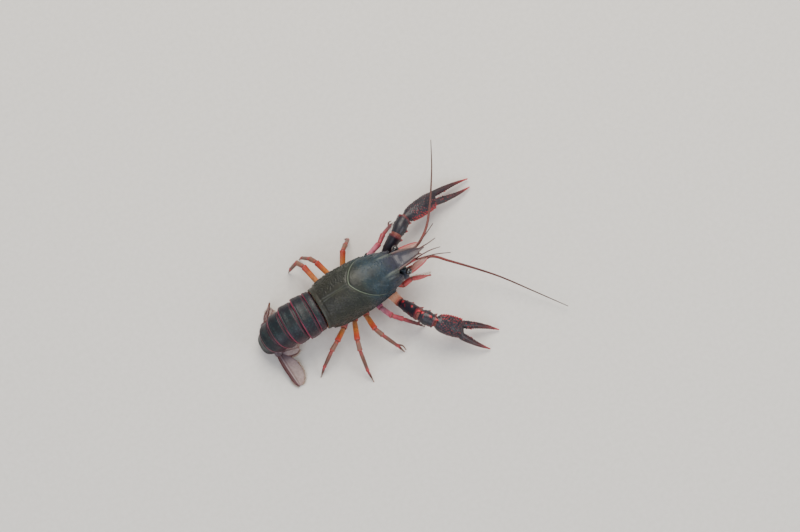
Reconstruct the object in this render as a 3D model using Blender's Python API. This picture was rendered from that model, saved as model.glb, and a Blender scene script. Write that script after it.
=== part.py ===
# Red swamp crayfish, a still, life-size model of the whole animal standing on the floor.
# Lengths are millimetres in the body frame and become metres where a mesh is made: +X towards
# the head, +Y towards the animal's left, +Z up, the floor at z = 0, and x = 0 at the rear edge
# of the carapace on the midline.

import math
import random

import bpy
from mathutils import Vector

MM = 0.001
GAP = 0.3                   # clearance between neighbouring pieces

# Carapace
CARAPACE_LENGTH = 38.0      # rear edge to the front face, without the rostrum
GROOVE_X = 15.0             # where the cervical groove crosses the midline
GROOVE_SWEEP = 15.0         # how far forward the groove has run at the widest level
GROOVE_DEPTH = 0.7
SHELL_HALF_WIDTH = (
    (0, 9.2), (3, 10.1), (8, 10.9), (14, 11.0), (21, 10.7), (27, 9.9), (32, 8.8), (36, 7.5), (38, 6.7),
)
SHELL_TOP = ((0, 22.6), (3, 24.2), (9, 26.5), (16, 27.7), (23, 27.4), (29, 26.2), (34, 24.6), (38, 22.9))
SHELL_WIDEST_Z = ((0, 15.0), (8, 16.4), (16, 17.0), (38, 17.0))
SHELL_MARGIN = ((0, 12.0), (4, 9.6), (8, 8.8), (12, 8.8), (26, 8.8), (30, 9.0), (34, 10.0), (38, 12.0))
ROSTRUM_TIP_X = 51.4
ROSTRUM_HALF_WIDTH = ((33, 4.6), (38, 4.2), (42, 3.5), (46, 2.4), (47.6, 1.8), (48.6, 1.0), (51.4, 0.2))
ROSTRUM_EDGE_Z = ((33, 24.0), (36, 24.1), (38, 23.9), (42, 23.2), (46, 22.2), (48.6, 21.5), (51.4, 21.3))

# Underside and face
STERNUM_REAR_X = 8.0
STERNUM_FRONT_X = 33.5
STERNUM_HALF_WIDTH = 5.4
STERNUM_TOP_Z = 8.45
STERNUM_FLOOR_Z = 4.4
FACE_DEPTH = 2.9
FACE_HALF_WIDTH = 6.6
FACE_LOW_Z = 10.6
FACE_TOP_Z = 18.4

# Abdomen: the dorsal midline at each joint, from the carapace to the telson
TAIL_JOINTS = (
    (0.0, 0.0, 22.4),
    (-3.5, 0.0, 22.4),
    (-9.8, 0.1, 21.8),
    (-16.6, 0.3, 19.8),
    (-22.4, 0.5, 15.9),
    (-26.7, 0.6, 10.6),
    (-27.9, 0.6, 4.6),
)
SOMITE_HALF_WIDTHS = (9.1, 9.5, 9.0, 8.1, 7.0, 5.4)
SOMITE_ARCHES = (7.0, 7.6, 7.6, 7.0, 6.2, 4.6)
SOMITE_DEPTHS = (8.6, 11.4, 11.0, 10.0, 8.8, 6.6)
# Along a somite: place, share of its section, and how much lower its side flaps hang there
SOMITE_SHAPE = ((0.0, 0.95, -0.9), (0.2, 0.99, 0.0), (0.6, 1.0, 0.9), (0.86, 1.02, 0.2), (1.0, 0.99, -0.6))
TELSON_END = (-16.8, 2.6, 0.5)
TELSON_HALF_WIDTH = 4.2

# Tail fan: where each stalk ends, and its blades' tip, direction across from the thick edge,
# half width and extra edge thickness
UROPOD_ROOT = (4.9, 4.4)    # out from the midline and in from the back, on the last somite's face
UROPOD_KNEE_RIGHT = (-22.2, -6.0, 3.4)
UROPOD_RIGHT_INNER = ((-13.8, -7.4, 3.0), (0.3, 1.0, 0.2), 2.8, 0.0)
UROPOD_RIGHT_OUTER = ((-21.4, -21.6, 0.6), (1.0, 0.2, 0.0), 3.4, 0.2)
UROPOD_KNEE_LEFT = (-21.4, 8.6, 4.8)
UROPOD_LEFT_INNER = ((-15.4, 12.9, 3.4), (0.0, -1.0, -0.3), 2.4, 0.0)
UROPOD_LEFT_OUTER = ((-15.1, 16.0, 3.4), (0.0, 0.25, -1.0), 2.6, 0.2)
# Blade outlines: place along, and the share of the half width on the thick side and the other
OUTER_BLADE = (
    (0.0, 0.36, 0.36), (0.12, 0.5, 0.75), (0.35, 0.58, 1.25), (0.6, 0.58, 1.4),
    (0.82, 0.5, 1.2), (0.95, 0.32, 0.7), (1.0, 0.15, 0.25),
)
INNER_BLADE = (
    (0.0, 0.36, 0.36), (0.12, 0.6, 0.6), (0.35, 0.95, 0.95), (0.6, 1.0, 1.0),
    (0.82, 0.85, 0.85), (0.95, 0.5, 0.5), (1.0, 0.2, 0.2),
)
SCALE_BLADE = (
    (0.0, 0.5, 0.5), (0.15, 0.8, 0.9), (0.45, 0.85, 1.15), (0.75, 0.75, 0.85),
    (0.92, 0.5, 0.3), (1.0, 0.15, 0.08),
)
SWIMMERET_BLADE = ((0.0, 0.5, 0.5), (0.3, 1.0, 1.0), (0.7, 0.9, 0.9), (1.0, 0.3, 0.3))

# Chelipeds: coxa, end of the ischium, end of the merus, wrist
CHELIPED_RIGHT = ((31.0, -5.7, 6.2), (32.5, -12.5, 7.4), (36.0, -22.5, 13.0), (40.0, -28.5, 13.0))
CHELIPED_LEFT = ((31.6, 5.7, 6.2), (37.0, 8.8, 7.0), (45.1, 12.8, 12.2), (52.1, 17.8, 11.6))
# Claws: end of the palm, tip of the movable finger, tip of the fixed finger, greatest half width
CLAW_RIGHT = ((48.8, -35.7, 7.7), (63.8, -42.3, 0.9), (56.3, -47.8, 0.9), 4.15)
CLAW_LEFT = ((67.6, 20.8, 6.2), (85.2, 19.0, 0.9), (86.3, 22.6, 1.2), 3.7)
# Palm sections: place along, half width and half thickness as shares of the greatest half width
PALM_SECTIONS = (
    (0.0, 0.42, 0.38), (0.07, 0.56, 0.51), (0.2, 0.82, 0.66), (0.45, 0.98, 0.75),
    (0.75, 1.0, 0.71), (0.92, 0.97, 0.6), (1.0, 0.92, 0.49),
)
FINGER_SIZE = (0.43, 0.4)  # half width and half thickness at the root, as shares of the same
FINGER_ROOT = 0.52          # how far each finger's root is from the palm's middle line
FINGER_BOW = 0.5

# Walking legs: joints from the coxa to the tip on the floor
LEGS = {
    "leg_2_right": (
        (24.0, -5.7, 6.3), (24.4, -10.5, 6.7), (26.0, -17.0, 11.6),
        (29.5, -20.0, 9.6), (35.0, -23.6, 3.4), (37.2, -25.2, 0.0),
    ),
    "leg_3_right": (
        (19.5, -5.7, 6.3), (17.3, -10.3, 6.7), (16.9, -18.5, 12.0),
        (18.6, -21.8, 9.4), (22.8, -27.8, 3.2), (24.3, -30.6, 0.0),
    ),
    "leg_4_right": (
        (15.0, -5.7, 6.3), (11.8, -9.8, 6.7), (8.0, -19.0, 12.0),
        (7.0, -23.0, 9.6), (6.2, -31.0, 3.2), (6.5, -35.6, 0.0),
    ),
    "leg_5_right": (
        (10.4, -5.7, 6.3), (6.2, -10.4, 6.9), (0.6, -14.8, 10.6),
        (-3.2, -16.8, 8.4), (-9.0, -20.2, 3.0), (-12.0, -22.6, 0.0),
    ),
    "leg_2_left": (
        (24.0, 5.7, 6.3), (26.4, 10.6, 6.7), (37.4, 13.9, 9.8),
        (41.0, 16.9, 8.6), (46.4, 20.4, 2.8), (48.6, 21.8, 0.0),
    ),
    "leg_3_left": (
        (19.5, 5.7, 6.3), (17.9, 11.2, 7.0), (22.2, 18.3, 12.1),
        (24.7, 20.6, 9.8), (27.7, 23.8, 3.4), (28.7, 24.8, 0.0),
    ),
    "leg_4_left": (
        (15.0, 5.7, 6.3), (13.2, 10.8, 6.9), (9.9, 19.6, 11.6),
        (8.6, 22.8, 9.6), (6.6, 26.6, 3.3), (5.7, 27.5, 0.0),
    ),
    "leg_5_left": (
        (10.6, 5.7, 6.3), (7.0, 10.8, 7.2), (4.3, 20.6, 11.6),
        (2.8, 24.0, 9.8), (0.0, 24.6, 3.4), (-1.1, 24.6, 0.0),
    ),
}
# Radii of a walking leg's five lengths near their start, middle and end
LEG_RADII = (
    (1.75, 1.6, 1.35), (1.1, 1.2, 1.25), (0.95, 1.05, 1.1), (0.85, 0.85, 0.75), (0.6, 0.45, 0.32),
)

# Feelers
ANTENNA_RIGHT = (
    (47.6, -3.1, 14.9), (53.0, -3.6, 15.0), (58.5, -8.2, 13.0), (68.6, -17.3, 9.0),
    (75.4, -24.4, 7.0), (84.8, -36.3, 4.6), (94.0, -48.5, 3.0),
)
ANTENNA_LEFT = (
    (47.6, 3.1, 14.9), (51.9, 4.4, 16.2), (57.2, 8.3, 17.0), (62.5, 14.8, 17.4),
    (67.4, 22.0, 17.6), (73.0, 31.0, 16.4), (79.0, 42.0, 14.0),
)
ANTENNA_RADII = (0.85, 0.27)
# Whips of an antennule for the left side, from its stem
ANTENNULE_OUTER = ((45.2, 2.05, 17.6), (50.0, 3.2, 18.6), (55.0, 5.0, 19.6), (60.0, 7.4, 20.2))
ANTENNULE_INNER = ((45.2, 1.75, 17.5), (50.0, 1.5, 17.7), (54.0, 1.6, 17.6), (58.0, 2.2, 17.0))
ANTENNULE_RADII = (0.36, 0.25)

# Studs and spines: (radius, height), and how many stand on each piece
PALM_STUD = (0.55, 0.6)
PALM_STUDS = 20
MARGIN_STUD = (0.62, 0.85)
MARGIN_STUDS = 6
FINGER_STUD = (0.42, 0.5)
TOOTH = (0.4, 0.45)
FINGER_STUDS = 5
CHELIPED_SPINE = (0.5, 0.75)
SHELL_STUD = (0.38, 0.3)
SHELL_STUDS = 26
# Spines of a cheliped's lengths: ring number and corner number of twelve
CHELIPED_SPINES = {
    "base": (),
    "merus": ((2.4, 3.0), (3.2, 2.6), (3.2, 3.6), (2.8, 0.4), (3.3, 5.6)),
    "carpus": ((1.4, 2.4), (2.2, 1.2), (3.1, 2.2), (2.4, 3.6), (3.2, 0.4), (3.1, 4.0)),
}
SWIMMERET_LENGTH = 6.4
SWIMMERET_HALF_WIDTH = 1.1


def blend(stations, x):
    # A smooth curve through (place, value) stations, level past both ends
    if x <= stations[0][0]:
        return stations[0][1]
    for k in range(len(stations) - 1):
        x0, y0 = stations[k]
        x1, y1 = stations[k + 1]
        if x <= x1:
            before = stations[max(k - 1, 0)]
            after = stations[min(k + 2, len(stations) - 1)]
            slope0 = (y1 - before[1]) / (x1 - before[0])
            slope1 = (after[1] - y0) / (after[0] - x0)
            span = x1 - x0
            f = (x - x0) / span
            h00 = 2 * f**3 - 3 * f**2 + 1
            h10 = f**3 - 2 * f**2 + f
            h01 = 3 * f**2 - 2 * f**3
            h11 = f**3 - f**2
            return h00 * y0 + h10 * span * slope0 + h01 * y1 + h11 * span * slope1
    return stations[-1][1]


def smooth_path(points, count):
    # Evenly spread points on one smooth curve through the given ones
    places = [0.0]
    for a, b in zip(points, points[1:]):
        places.append(places[-1] + (Vector(b) - Vector(a)).length)
    path = []
    for k in range(count):
        place = places[-1] * k / (count - 1)
        spot = [blend([(s, p[axis]) for s, p in zip(places, points)], place) for axis in range(3)]
        path.append(Vector(spot))
    return path


def oval(half_width, half_height, sides, power=2.0):
    # A superellipse as (across, up) pairs
    pairs = []
    for k in range(sides):
        angle = 2 * math.pi * k / sides
        across = half_width * abs(math.cos(angle)) ** (2 / power)
        up = half_height * abs(math.sin(angle)) ** (2 / power)
        pairs.append((math.copysign(across, math.cos(angle)), math.copysign(up, math.sin(angle))))
    return pairs


def span_ring(start, end, start_normal, end_normal, side, place, section):
    # A section at a share of the way along a length whose two end faces are slanted planes
    along = (end - start).normalized()
    side = (side - along * side.dot(along)).normalized()
    up = along.cross(side)
    points = []
    for across, high in section:
        offset = side * across + up * high
        slide0 = -offset.dot(start_normal) / along.dot(start_normal)
        slide1 = -offset.dot(end_normal) / along.dot(end_normal)
        points.append(start.lerp(end, place) + offset + along * (slide0 * (1 - place) + slide1 * place))
    return points


def material(name, colour, roughness):
    made = bpy.data.materials.get(name)
    if made is None:
        made = bpy.data.materials.new(name)
        made.use_nodes = True
        shader = made.node_tree.nodes["Principled BSDF"]
        shader.inputs["Base Color"].default_value = (*colour, 1.0)
        shader.inputs["Roughness"].default_value = roughness
        shader.inputs["Metallic"].default_value = 0.0
    return made


def loft(name, rings, finish):
    # A closed solid through rings of equal count, with a flat face or a point at each end
    origin = sum(rings[0], Vector()) / len(rings[0])
    mesh = bpy.data.meshes.new(name)
    verts = []
    rows = []
    for ring in rings:
        rows.append(range(len(verts), len(verts) + len(ring)))
        verts += [(Vector(p) - origin) * MM for p in ring]
    faces = []
    for a, b in zip(rows, rows[1:]):
        count = max(len(a), len(b))
        for k in range(count):
            n = (k + 1) % count
            if len(a) == 1:
                faces.append((a[0], b[n], b[k]))
            elif len(b) == 1:
                faces.append((a[k], a[n], b[0]))
            else:
                faces.append((a[k], a[n], b[n], b[k]))
    if len(rows[0]) > 1:
        faces.append(tuple(reversed(rows[0])))
    if len(rows[-1]) > 1:
        faces.append(tuple(rows[-1]))
    mesh.from_pydata(verts, [], faces)
    mesh.validate()
    if signed_volume(mesh) < 0:
        mesh.flip_normals()
    mesh.shade_smooth()
    made = bpy.data.objects.new(name, mesh)
    made.location = origin * MM
    mesh.materials.append(finish)
    bpy.context.scene.collection.objects.link(made)
    return made


def signed_volume(mesh):
    mesh.calc_loop_triangles()
    total = 0.0
    for triangle in mesh.loop_triangles:
        a, b, c = (mesh.vertices[k].co for k in triangle.vertices)
        total += a.dot(b.cross(c))
    return total


def keep_largest(mesh):
    # Only the largest closed surface of a joined mesh stays
    parent = list(range(len(mesh.vertices)))

    def root(k):
        while parent[k] != k:
            parent[k] = parent[parent[k]]
            k = parent[k]
        return k

    for edge in mesh.edges:
        a, b = edge.vertices
        parent[root(a)] = root(b)
    sizes = {}
    for vertex in mesh.vertices:
        group = root(vertex.index)
        sizes.setdefault(group, []).append(vertex.co)

    def reach(points):
        return sum(max(p[axis] for p in points) - min(p[axis] for p in points) for axis in range(3))

    best = max(sizes, key=lambda group: reach(sizes[group]))
    if len(sizes) == 1:
        return
    kept = [face for face in mesh.polygons if root(face.vertices[0]) == best]
    used = sorted({v for face in kept for v in face.vertices})
    renumber = {old: new for new, old in enumerate(used)}
    verts = [mesh.vertices[v].co.copy() for v in used]
    faces = [[renumber[v] for v in face.vertices] for face in kept]
    mesh.clear_geometry()
    mesh.from_pydata(verts, [], faces)


def fuse(body, extras, solver="EXACT"):
    # One Boolean union joins the extra pieces to the body, and the helpers are removed
    group = bpy.data.collections.new(body.name + "_extras")
    bpy.context.scene.collection.children.link(group)
    for piece in extras:
        bpy.context.scene.collection.objects.unlink(piece)
        group.objects.link(piece)
    joint = body.modifiers.new("join", "BOOLEAN")
    joint.operand_type = "COLLECTION"
    joint.collection = group
    joint.operation = "UNION"
    joint.solver = solver
    bpy.context.view_layer.update()
    graph = bpy.context.evaluated_depsgraph_get()
    joined = bpy.data.meshes.new_from_object(body.evaluated_get(graph))
    body.modifiers.remove(joint)
    joined.name = body.name
    body.data = joined
    for piece in extras:
        bpy.data.objects.remove(piece, do_unlink=True)
    bpy.data.collections.remove(group)
    keep_largest(body.data)
    return body


def rest_on_floor(body):
    # Flattens what would dip below the floor
    for vertex in body.data.vertices:
        vertex.co.z = max(vertex.co.z, -body.location.z)


def limb_pieces(points, radii, groups, side, start_normal, end_normal, sides, squash=1.0, pinch=0.84):
    # The rings of a jointed limb, one list for each group of lengths (first, last).
    # Neighbouring groups end on the plane that halves their bend, half a gap short of it.
    points = [Vector(p) for p in points]
    runs = [(b - a).normalized() for a, b in zip(points, points[1:])]
    normals = [start_normal]
    normals += [(a + b).normalized() for a, b in zip(runs, runs[1:])]
    normals.append(end_normal)
    pieces = []
    for first, last in groups:
        rings = []
        for k in range(first, last + 1):
            start = points[k]
            end = points[k + 1]
            if k == first:
                start = start + runs[k] * (GAP / 2) / abs(runs[k].dot(normals[k]))
            if k == last and k + 1 < len(runs):
                end = end - runs[k] * (GAP / 2) / abs(runs[k].dot(normals[k + 1]))
            near, middle, far = radii[k]
            stations = [(0.0, near * pinch), (0.14, near), (0.5, middle), (0.88, far), (1.0, far * pinch)]
            if k > 0:
                stations[0] = (0.0, min(near, radii[k - 1][2]) * pinch)
            if k + 1 < len(runs):
                stations[-1] = (1.0, min(far, radii[k + 1][0]) * pinch)
            if k > first:
                stations = stations[1:]
            for place, radius in stations:
                section = oval(radius, radius * squash, sides)
                rings.append(span_ring(start, end, normals[k], normals[k + 1], side, place, section))
        pieces.append(rings)
    return pieces


def whip(name, points, near, far, sides, finish, start_normal):
    # A thin tapered feeler along a path
    rings = []
    count = len(points)
    side = Vector((0, 0, 1)).cross(points[-1] - points[0]).normalized()
    for k in range(count - 1):
        along = (points[k + 1] - points[k]).normalized()
        normal = start_normal
        if k > 0:
            normal = (along + (points[k] - points[k - 1]).normalized()).normalized()
        radius = near + (far - near) * k / (count - 1)
        section = oval(radius, radius, sides)
        rings.append(span_ring(points[k], points[k + 1], normal, normal, side, 0.0, section))
    end = (points[-1] - points[-2]).normalized()
    rings.append(span_ring(points[-1] - end * far, points[-1], end, end, side, 1.0, oval(far, far, sides)))
    return loft(name, rings, finish)


def blade(name, root, tip, across, half_width, thickness, profile, finish, edge=0.0):
    # A thin leaf: raised along its middle, and thicker along one edge where that is asked for
    root = Vector(root)
    tip = Vector(tip)
    along = (tip - root).normalized()
    across = Vector(across)
    across = (across - along * across.dot(along)).normalized()
    normal = along.cross(across)
    rings = []
    for place, thick_side, thin_side in profile:
        centre = root.lerp(tip, place)
        top = []
        low = []
        for v in (-1.0, -0.5, 0.0, 0.5, 1.0):
            half = thickness * (0.5 - 0.2 * v * v)
            if v == 0.0:
                half += 0.18
            if v == -1.0:
                half += edge
            half *= 0.6 + 0.4 * min(1.0, (1 - place) * 3)
            spot = centre + across * half_width * v * (thick_side if v < 0 else thin_side)
            top.append(spot + normal * half)
            low.append(spot - normal * half)
        rings.append(top + low[::-1])
    return loft(name, rings, finish)


def skin_spot(rings, along, around):
    # A point and the outward direction on a lofted skin, from ring and corner numbers with fractions
    count = len(rings[0])

    def at(u, v):
        u = min(max(u, 0.0), len(rings) - 1.001)
        k = int(u)
        n = int(math.floor(v))
        a = rings[k][n % count].lerp(rings[k][(n + 1) % count], v - n)
        b = rings[k + 1][n % count].lerp(rings[k + 1][(n + 1) % count], v - n)
        return a.lerp(b, u - k)

    point = at(along, around)
    lengthwise = at(along + 0.3, around) - at(along - 0.3, around)
    crosswise = at(along, around + 0.4) - at(along, around - 0.4)
    outward = lengthwise.cross(crosswise).normalized()
    low = int(min(max(along, 0.0), len(rings) - 1.001))
    middle = sum(rings[low], Vector()) / count
    if outward.dot(point - middle) < 0:
        outward = -outward
    return point, outward


def stud(point, outward, radius, height, finish, lean=None, sides=5):
    # A blunt cone with its root sunk in the shell; a lean turns its point
    side = outward.orthogonal().normalized()
    root = point - outward * min(0.8 * radius + 0.15, 0.6)
    ridge = point + outward * height * 0.35
    tip = point + outward * height + (lean or Vector())
    rings = []
    for centre, wide in ((root, radius), (ridge, 0.86 * radius)):
        section = oval(wide, wide, sides)
        rings.append(span_ring(centre, centre + outward, outward, outward, side, 0.0, section))
    rings.append([tip])
    return loft("stud", rings, finish)


def mirrored(side):
    return -1.0 if side == "right" else 1.0


DARK_SHELL = material("dark_shell", (0.035, 0.045, 0.055), 0.38)
TAIL_SHELL = material("tail_shell", (0.030, 0.030, 0.045), 0.35)
CLAW_SHELL = material("claw_shell", (0.045, 0.018, 0.030), 0.38)
LEG_SHELL = material("leg_shell", (0.42, 0.13, 0.08), 0.45)
JOINT_SKIN = material("joint_skin", (0.62, 0.36, 0.22), 0.5)
FAN_SHELL = material("fan_shell", (0.16, 0.03, 0.05), 0.4)
FEELER = material("feeler", (0.20, 0.06, 0.04), 0.45)
EYE = material("eye", (0.01, 0.01, 0.012), 0.12)


def shell_section(x, turn):
    # One point of the carapace's skin: turn runs 0 at the top, 1 at the widest level, 2 at the margin
    half = blend(SHELL_HALF_WIDTH, x)
    middle = blend(SHELL_WIDEST_Z, x)
    if turn <= 1:
        angle = turn * math.pi / 2
        power = 2 / 2.25
        y = half * math.sin(angle) ** power
        z = middle + (blend(SHELL_TOP, x) - middle) * math.cos(angle) ** power
        return y, z
    low = blend(SHELL_MARGIN, x)
    angle = (turn - 1) * math.pi / 2
    y = half * (0.80 + 0.20 * math.cos(angle) ** 0.9)
    z = middle - (middle - low) * math.sin(angle)
    return y, z


def carapace():
    stations = (0.0, 0.8, 1.7, 4.5, 8.0, 11.4, 14.1, 15.0, 15.9, 19.0, 22.5, 26.0, 29.5, 32.5, 35.5, 38.0)
    turns = [k / 8 for k in range(9)] + [1.25, 1.5, 1.75, 2.0]
    rings = []
    for x in stations:
        ring = []
        for turn in turns:
            sweep = GROOVE_SWEEP * min(turn, 1.2) ** 1.35
            if x <= GROOVE_X:
                place = x + sweep * (x / GROOVE_X) ** 1.5
            else:
                place = x + sweep * (CARAPACE_LENGTH - x) / (CARAPACE_LENGTH - GROOVE_X)
            y, z = shell_section(place, turn)
            sunk = 0.0
            if x == GROOVE_X:
                sunk = GROOVE_DEPTH * max(0.0, 1 - 0.6 * max(turn - 0.8, 0.0))
            if turn == 0.0 and 1.7 < x < GROOVE_X:
                sunk += 0.3
            if x == 1.7:
                sunk += 0.35
            inward = Vector((0, -y, blend(SHELL_WIDEST_Z, place) - z))
            if inward.length > 0:
                inward.normalize()
            ring.append(Vector((place, y, z)) + inward * sunk)
        rings.append(ring)
    full = []
    for ring in rings:
        other = [Vector((p.x, -p.y, p.z)) for p in reversed(ring[1:])]
        full.append(ring + other)
    body = loft("carapace", full, DARK_SHELL)

    # The rostrum: a tapering trough with raised edges and a sharp point
    spans = (33.0, 36.0, 38.5, 42.0, 45.0, 47.4, 48.6, 50.2, ROSTRUM_TIP_X)
    rings = []
    for x in spans:
        half = blend(ROSTRUM_HALF_WIDTH, x)
        edge = blend(ROSTRUM_EDGE_Z, x)
        trough = 0.30 * half
        thick = 0.4 + 0.2 * half
        profile = ((1.0, -0.35 * thick), (1.0, 0.0), (0.78, 0.05), (0.4, -trough * 0.8), (0.0, -trough))
        ring = [Vector((x, half * v, edge + dz)) for v, dz in profile]
        ring += [Vector((x, -half * v, edge + dz)) for v, dz in reversed(profile[:-1])]
        ring += [Vector((x, half * v, edge - trough - thick)) for v in (-0.6, 0.6)]
        rings.append(ring)
    extras = [loft("rostrum", rings, DARK_SHELL)]

    # A ridge with a spine behind each eye, a spine at each end of the groove, and scattered studs
    forward = Vector((1, 0, 0))
    for way in (-1, 1):
        rings = []
        for x, wide in ((29.5, 0.3), (32.0, 0.65), (35.0, 0.7), (37.2, 0.45)):
            y = (6.3 - 0.13 * (x - 29.5)) * way
            half = blend(SHELL_HALF_WIDTH, x)
            turn = math.asin((abs(y) / half) ** (2.25 / 2)) * 2 / math.pi
            z = shell_section(x, turn)[1] - 0.15
            rings.append([Vector((x, y + a, z + b)) for a, b in oval(wide, wide, 6)])
        rings.append([Vector((38.9, y, z + 0.1))])
        extras.append(loft("ridge", rings, DARK_SHELL))
    corners = len(full[0])
    for way in (-1, 1):
        point, outward = skin_spot(full, 8.3, 6.6 * way)
        extras.append(stud(point, outward, 0.65, 1.0, DARK_SHELL, forward * 0.9))
    draw = random.Random(3)
    for k in range(SHELL_STUDS):
        along = 3.4 + 7.2 * ((k * 0.618) % 1.0)
        around = (2.2 + 6.6 * (k + 0.5) / SHELL_STUDS + draw.uniform(-0.2, 0.2)) * (1 if k % 2 else -1)
        if abs(along - 7.0) < 0.9:
            along += 1.3
        point, outward = skin_spot(full, along, around % corners)
        extras.append(stud(point, outward, *SHELL_STUD, DARK_SHELL, forward * 0.2))
    fuse(body, extras)
    return body


def sternum():
    rings = []
    middle = (STERNUM_TOP_Z + STERNUM_FLOOR_Z) / 2
    half = (STERNUM_TOP_Z - STERNUM_FLOOR_Z) / 2
    for place, share in ((0, 0.8), (0.06, 1.0), (0.5, 1.0), (0.94, 1.0), (1, 0.9)):
        x = STERNUM_REAR_X + (STERNUM_FRONT_X - STERNUM_REAR_X) * place
        section = ((1, -0.2), (1, 1), (0, 1), (-1, 1), (-1, -0.2), (-0.7, -1), (0, -0.8), (0.7, -1))
        rings.append([Vector((x, STERNUM_HALF_WIDTH * a, middle + half * b * share)) for a, b in section])
    return loft("sternum", rings, JOINT_SKIN)


def face():
    # The epistome, which carries the feelers under the rostrum
    rings = []
    middle = (FACE_TOP_Z + FACE_LOW_Z) / 2
    half = (FACE_TOP_Z - FACE_LOW_Z) / 2
    start = CARAPACE_LENGTH + GAP
    for place, share in ((0.0, 0.94), (0.4, 1.0), (0.83, 0.98), (1.0, 0.9)):
        section = oval(FACE_HALF_WIDTH * share, half * share, 20, 3.0)
        rings.append([Vector((start + FACE_DEPTH * place, a, middle + b)) for a, b in section])
    return loft("face", rings, DARK_SHELL)


def eyes():
    for side in ("left", "right"):
        way = mirrored(side)
        root = Vector((CARAPACE_LENGTH, 3.4 * way, 19.9))
        along = Vector((0.75, 0.66 * way, 0.0)).normalized()
        end = root + along * 2.0
        front = Vector((1, 0, 0))
        start = root + along * GAP / along.x
        across = Vector((0, 0, 1))
        rings = []
        for place, radius in ((0.0, 0.8), (0.5, 0.95), (1.0, 1.1)):
            rings.append(span_ring(start, end, front, along, across, place, oval(radius, radius, 10)))
        loft("eyestalk_" + side, rings, DARK_SHELL)
        base = end + along * GAP
        rings = []
        for turn in (0, 1, 2, 3, 4):
            angle = math.radians(-50 + turn * 31)
            centre = base + along * 1.5 * (math.sin(angle) - math.sin(math.radians(-50)))
            section = oval(1.5 * math.cos(angle), 1.5 * math.cos(angle), 12)
            rings.append(span_ring(centre, centre + along, along, along, across, 0.0, section))
        rings.append([base + along * 1.5 * (1 - math.sin(math.radians(-50)))])
        loft("eye_" + side, rings, EYE)


def feelers():
    front_x = CARAPACE_LENGTH + GAP + FACE_DEPTH
    forward = Vector((1, 0, 0))
    across = Vector((0, 1, 0))
    for side in ("left", "right"):
        way = mirrored(side)
        # Antennal peduncle
        points = ((front_x + GAP / 2, 4.0 * way, 13.7), (44.2, 3.8 * way, 14.1), (47.45, 3.15 * way, 14.85))
        radii = ((1.6, 1.7, 1.5), (1.3, 1.25, 1.1))
        rings = limb_pieces(points, radii, ((0, 1),), across, forward, forward, 10)[0]
        loft("antenna_base_" + side, rings, LEG_SHELL)
        # Flagellum
        route = ANTENNA_LEFT if side == "left" else ANTENNA_RIGHT
        path = smooth_path([(x + 0.15, y, z) for x, y, z in route], 17)
        whip("antenna_" + side, path, *ANTENNA_RADII, 6, FEELER, forward)
        # Antennal scale
        root = (front_x + GAP + 0.2, 5.3 * way, 16.3)
        tip = (50.8, 3.7 * way, 17.6)
        inward = (0, -way, 0.25)
        blade("antenna_scale_" + side, root, tip, inward, 1.45, 0.9, SCALE_BLADE, LEG_SHELL, 0.1)
        # Antennule: a stout stem and two fine whips
        points = ((front_x + GAP / 2, 1.6 * way, 17.0), (43.6, 1.7 * way, 17.3), (46.2, 1.9 * way, 17.7))
        radii = ((0.9, 0.9, 0.8), (0.7, 0.7, 0.65))
        rings = limb_pieces(points, radii, ((0, 1),), across, forward, forward, 8)[0]
        stem = loft("antennule_" + side, rings, LEG_SHELL)
        whips = []
        for route in (ANTENNULE_OUTER, ANTENNULE_INNER):
            path = smooth_path([(x, y * way, z) for x, y, z in route], 8)
            whips.append(whip("whip", path, *ANTENNULE_RADII, 5, FEELER, forward))
        fuse(stem, whips)


def maxillipeds():
    forward = Vector((1, 0, 0))
    radii = ((1.3, 1.4, 1.2), (1.2, 1.2, 1.1), (1.0, 0.9, 0.5))
    root_x = STERNUM_FRONT_X + GAP / 2
    reaching = ((root_x, -2.8, 6.8), (37.6, -6.6, 7.6), (41.6, -6.2, 8.4), (50.0, -8.5, 7.2))
    folded = ((root_x, 2.8, 6.8), (38.4, 3.3, 7.4), (43.2, 3.0, 9.2), (45.8, 2.2, 7.4))
    for side, points in (("right", reaching), ("left", folded)):
        end = (Vector(points[-1]) - Vector(points[-2])).normalized()
        rings = limb_pieces(points, radii, ((0, 2),), Vector((0, 0, 1)), forward, end, 8)[0]
        loft("maxilliped_" + side, rings, LEG_SHELL)


def walking_legs():
    for name, points in LEGS.items():
        way = mirrored(name.rsplit("_", 1)[1])
        corner = [Vector(p) for p in points]
        side = (corner[2] - corner[1]).cross(corner[3] - corner[2]).normalized()
        floor = Vector((0, 0, 1))
        outward = Vector((0, way, 0))
        upper, lower = limb_pieces(points, LEG_RADII, ((0, 1), (2, 4)), side, outward, floor, 8)
        loft(name + "_upper", upper, LEG_SHELL)
        body = loft(name + "_lower", lower, LEG_SHELL)
        if name[4] in "23":
            # The movable finger of the small pincer beside the fixed one
            knuckle = corner[3].lerp(corner[4], 0.86)
            tip = corner[5] + side * 0.9 + Vector((0, 0, 0.75))
            route = smooth_path([knuckle, knuckle.lerp(tip, 0.5) + side * 0.95, tip], 5)
            end = (route[1] - route[0]).normalized()
            fuse(body, [whip("finger", route, 0.5, 0.27, 6, LEG_SHELL, end)])
        rest_on_floor(body)


def finger_rings(route, across, size, first_normal):
    # A tapering finger along a route from its root to its tip
    path = smooth_path(route, 8)
    wide = FINGER_SIZE[0] * size
    thick = FINGER_SIZE[1] * size
    last = len(path) - 1
    rings = []
    for k, point in enumerate(path):
        taper = 1 - 0.82 * (k / last) ** 1.3
        along = (path[min(k + 1, last)] - path[max(k - 1, 0)]).normalized()
        normal = first_normal if k == 0 else along
        section = oval(wide * taper, thick * taper, 10, 2.2)
        rings.append(span_ring(point, point + along, normal, normal, across, 0.0, section))
    return rings


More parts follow.
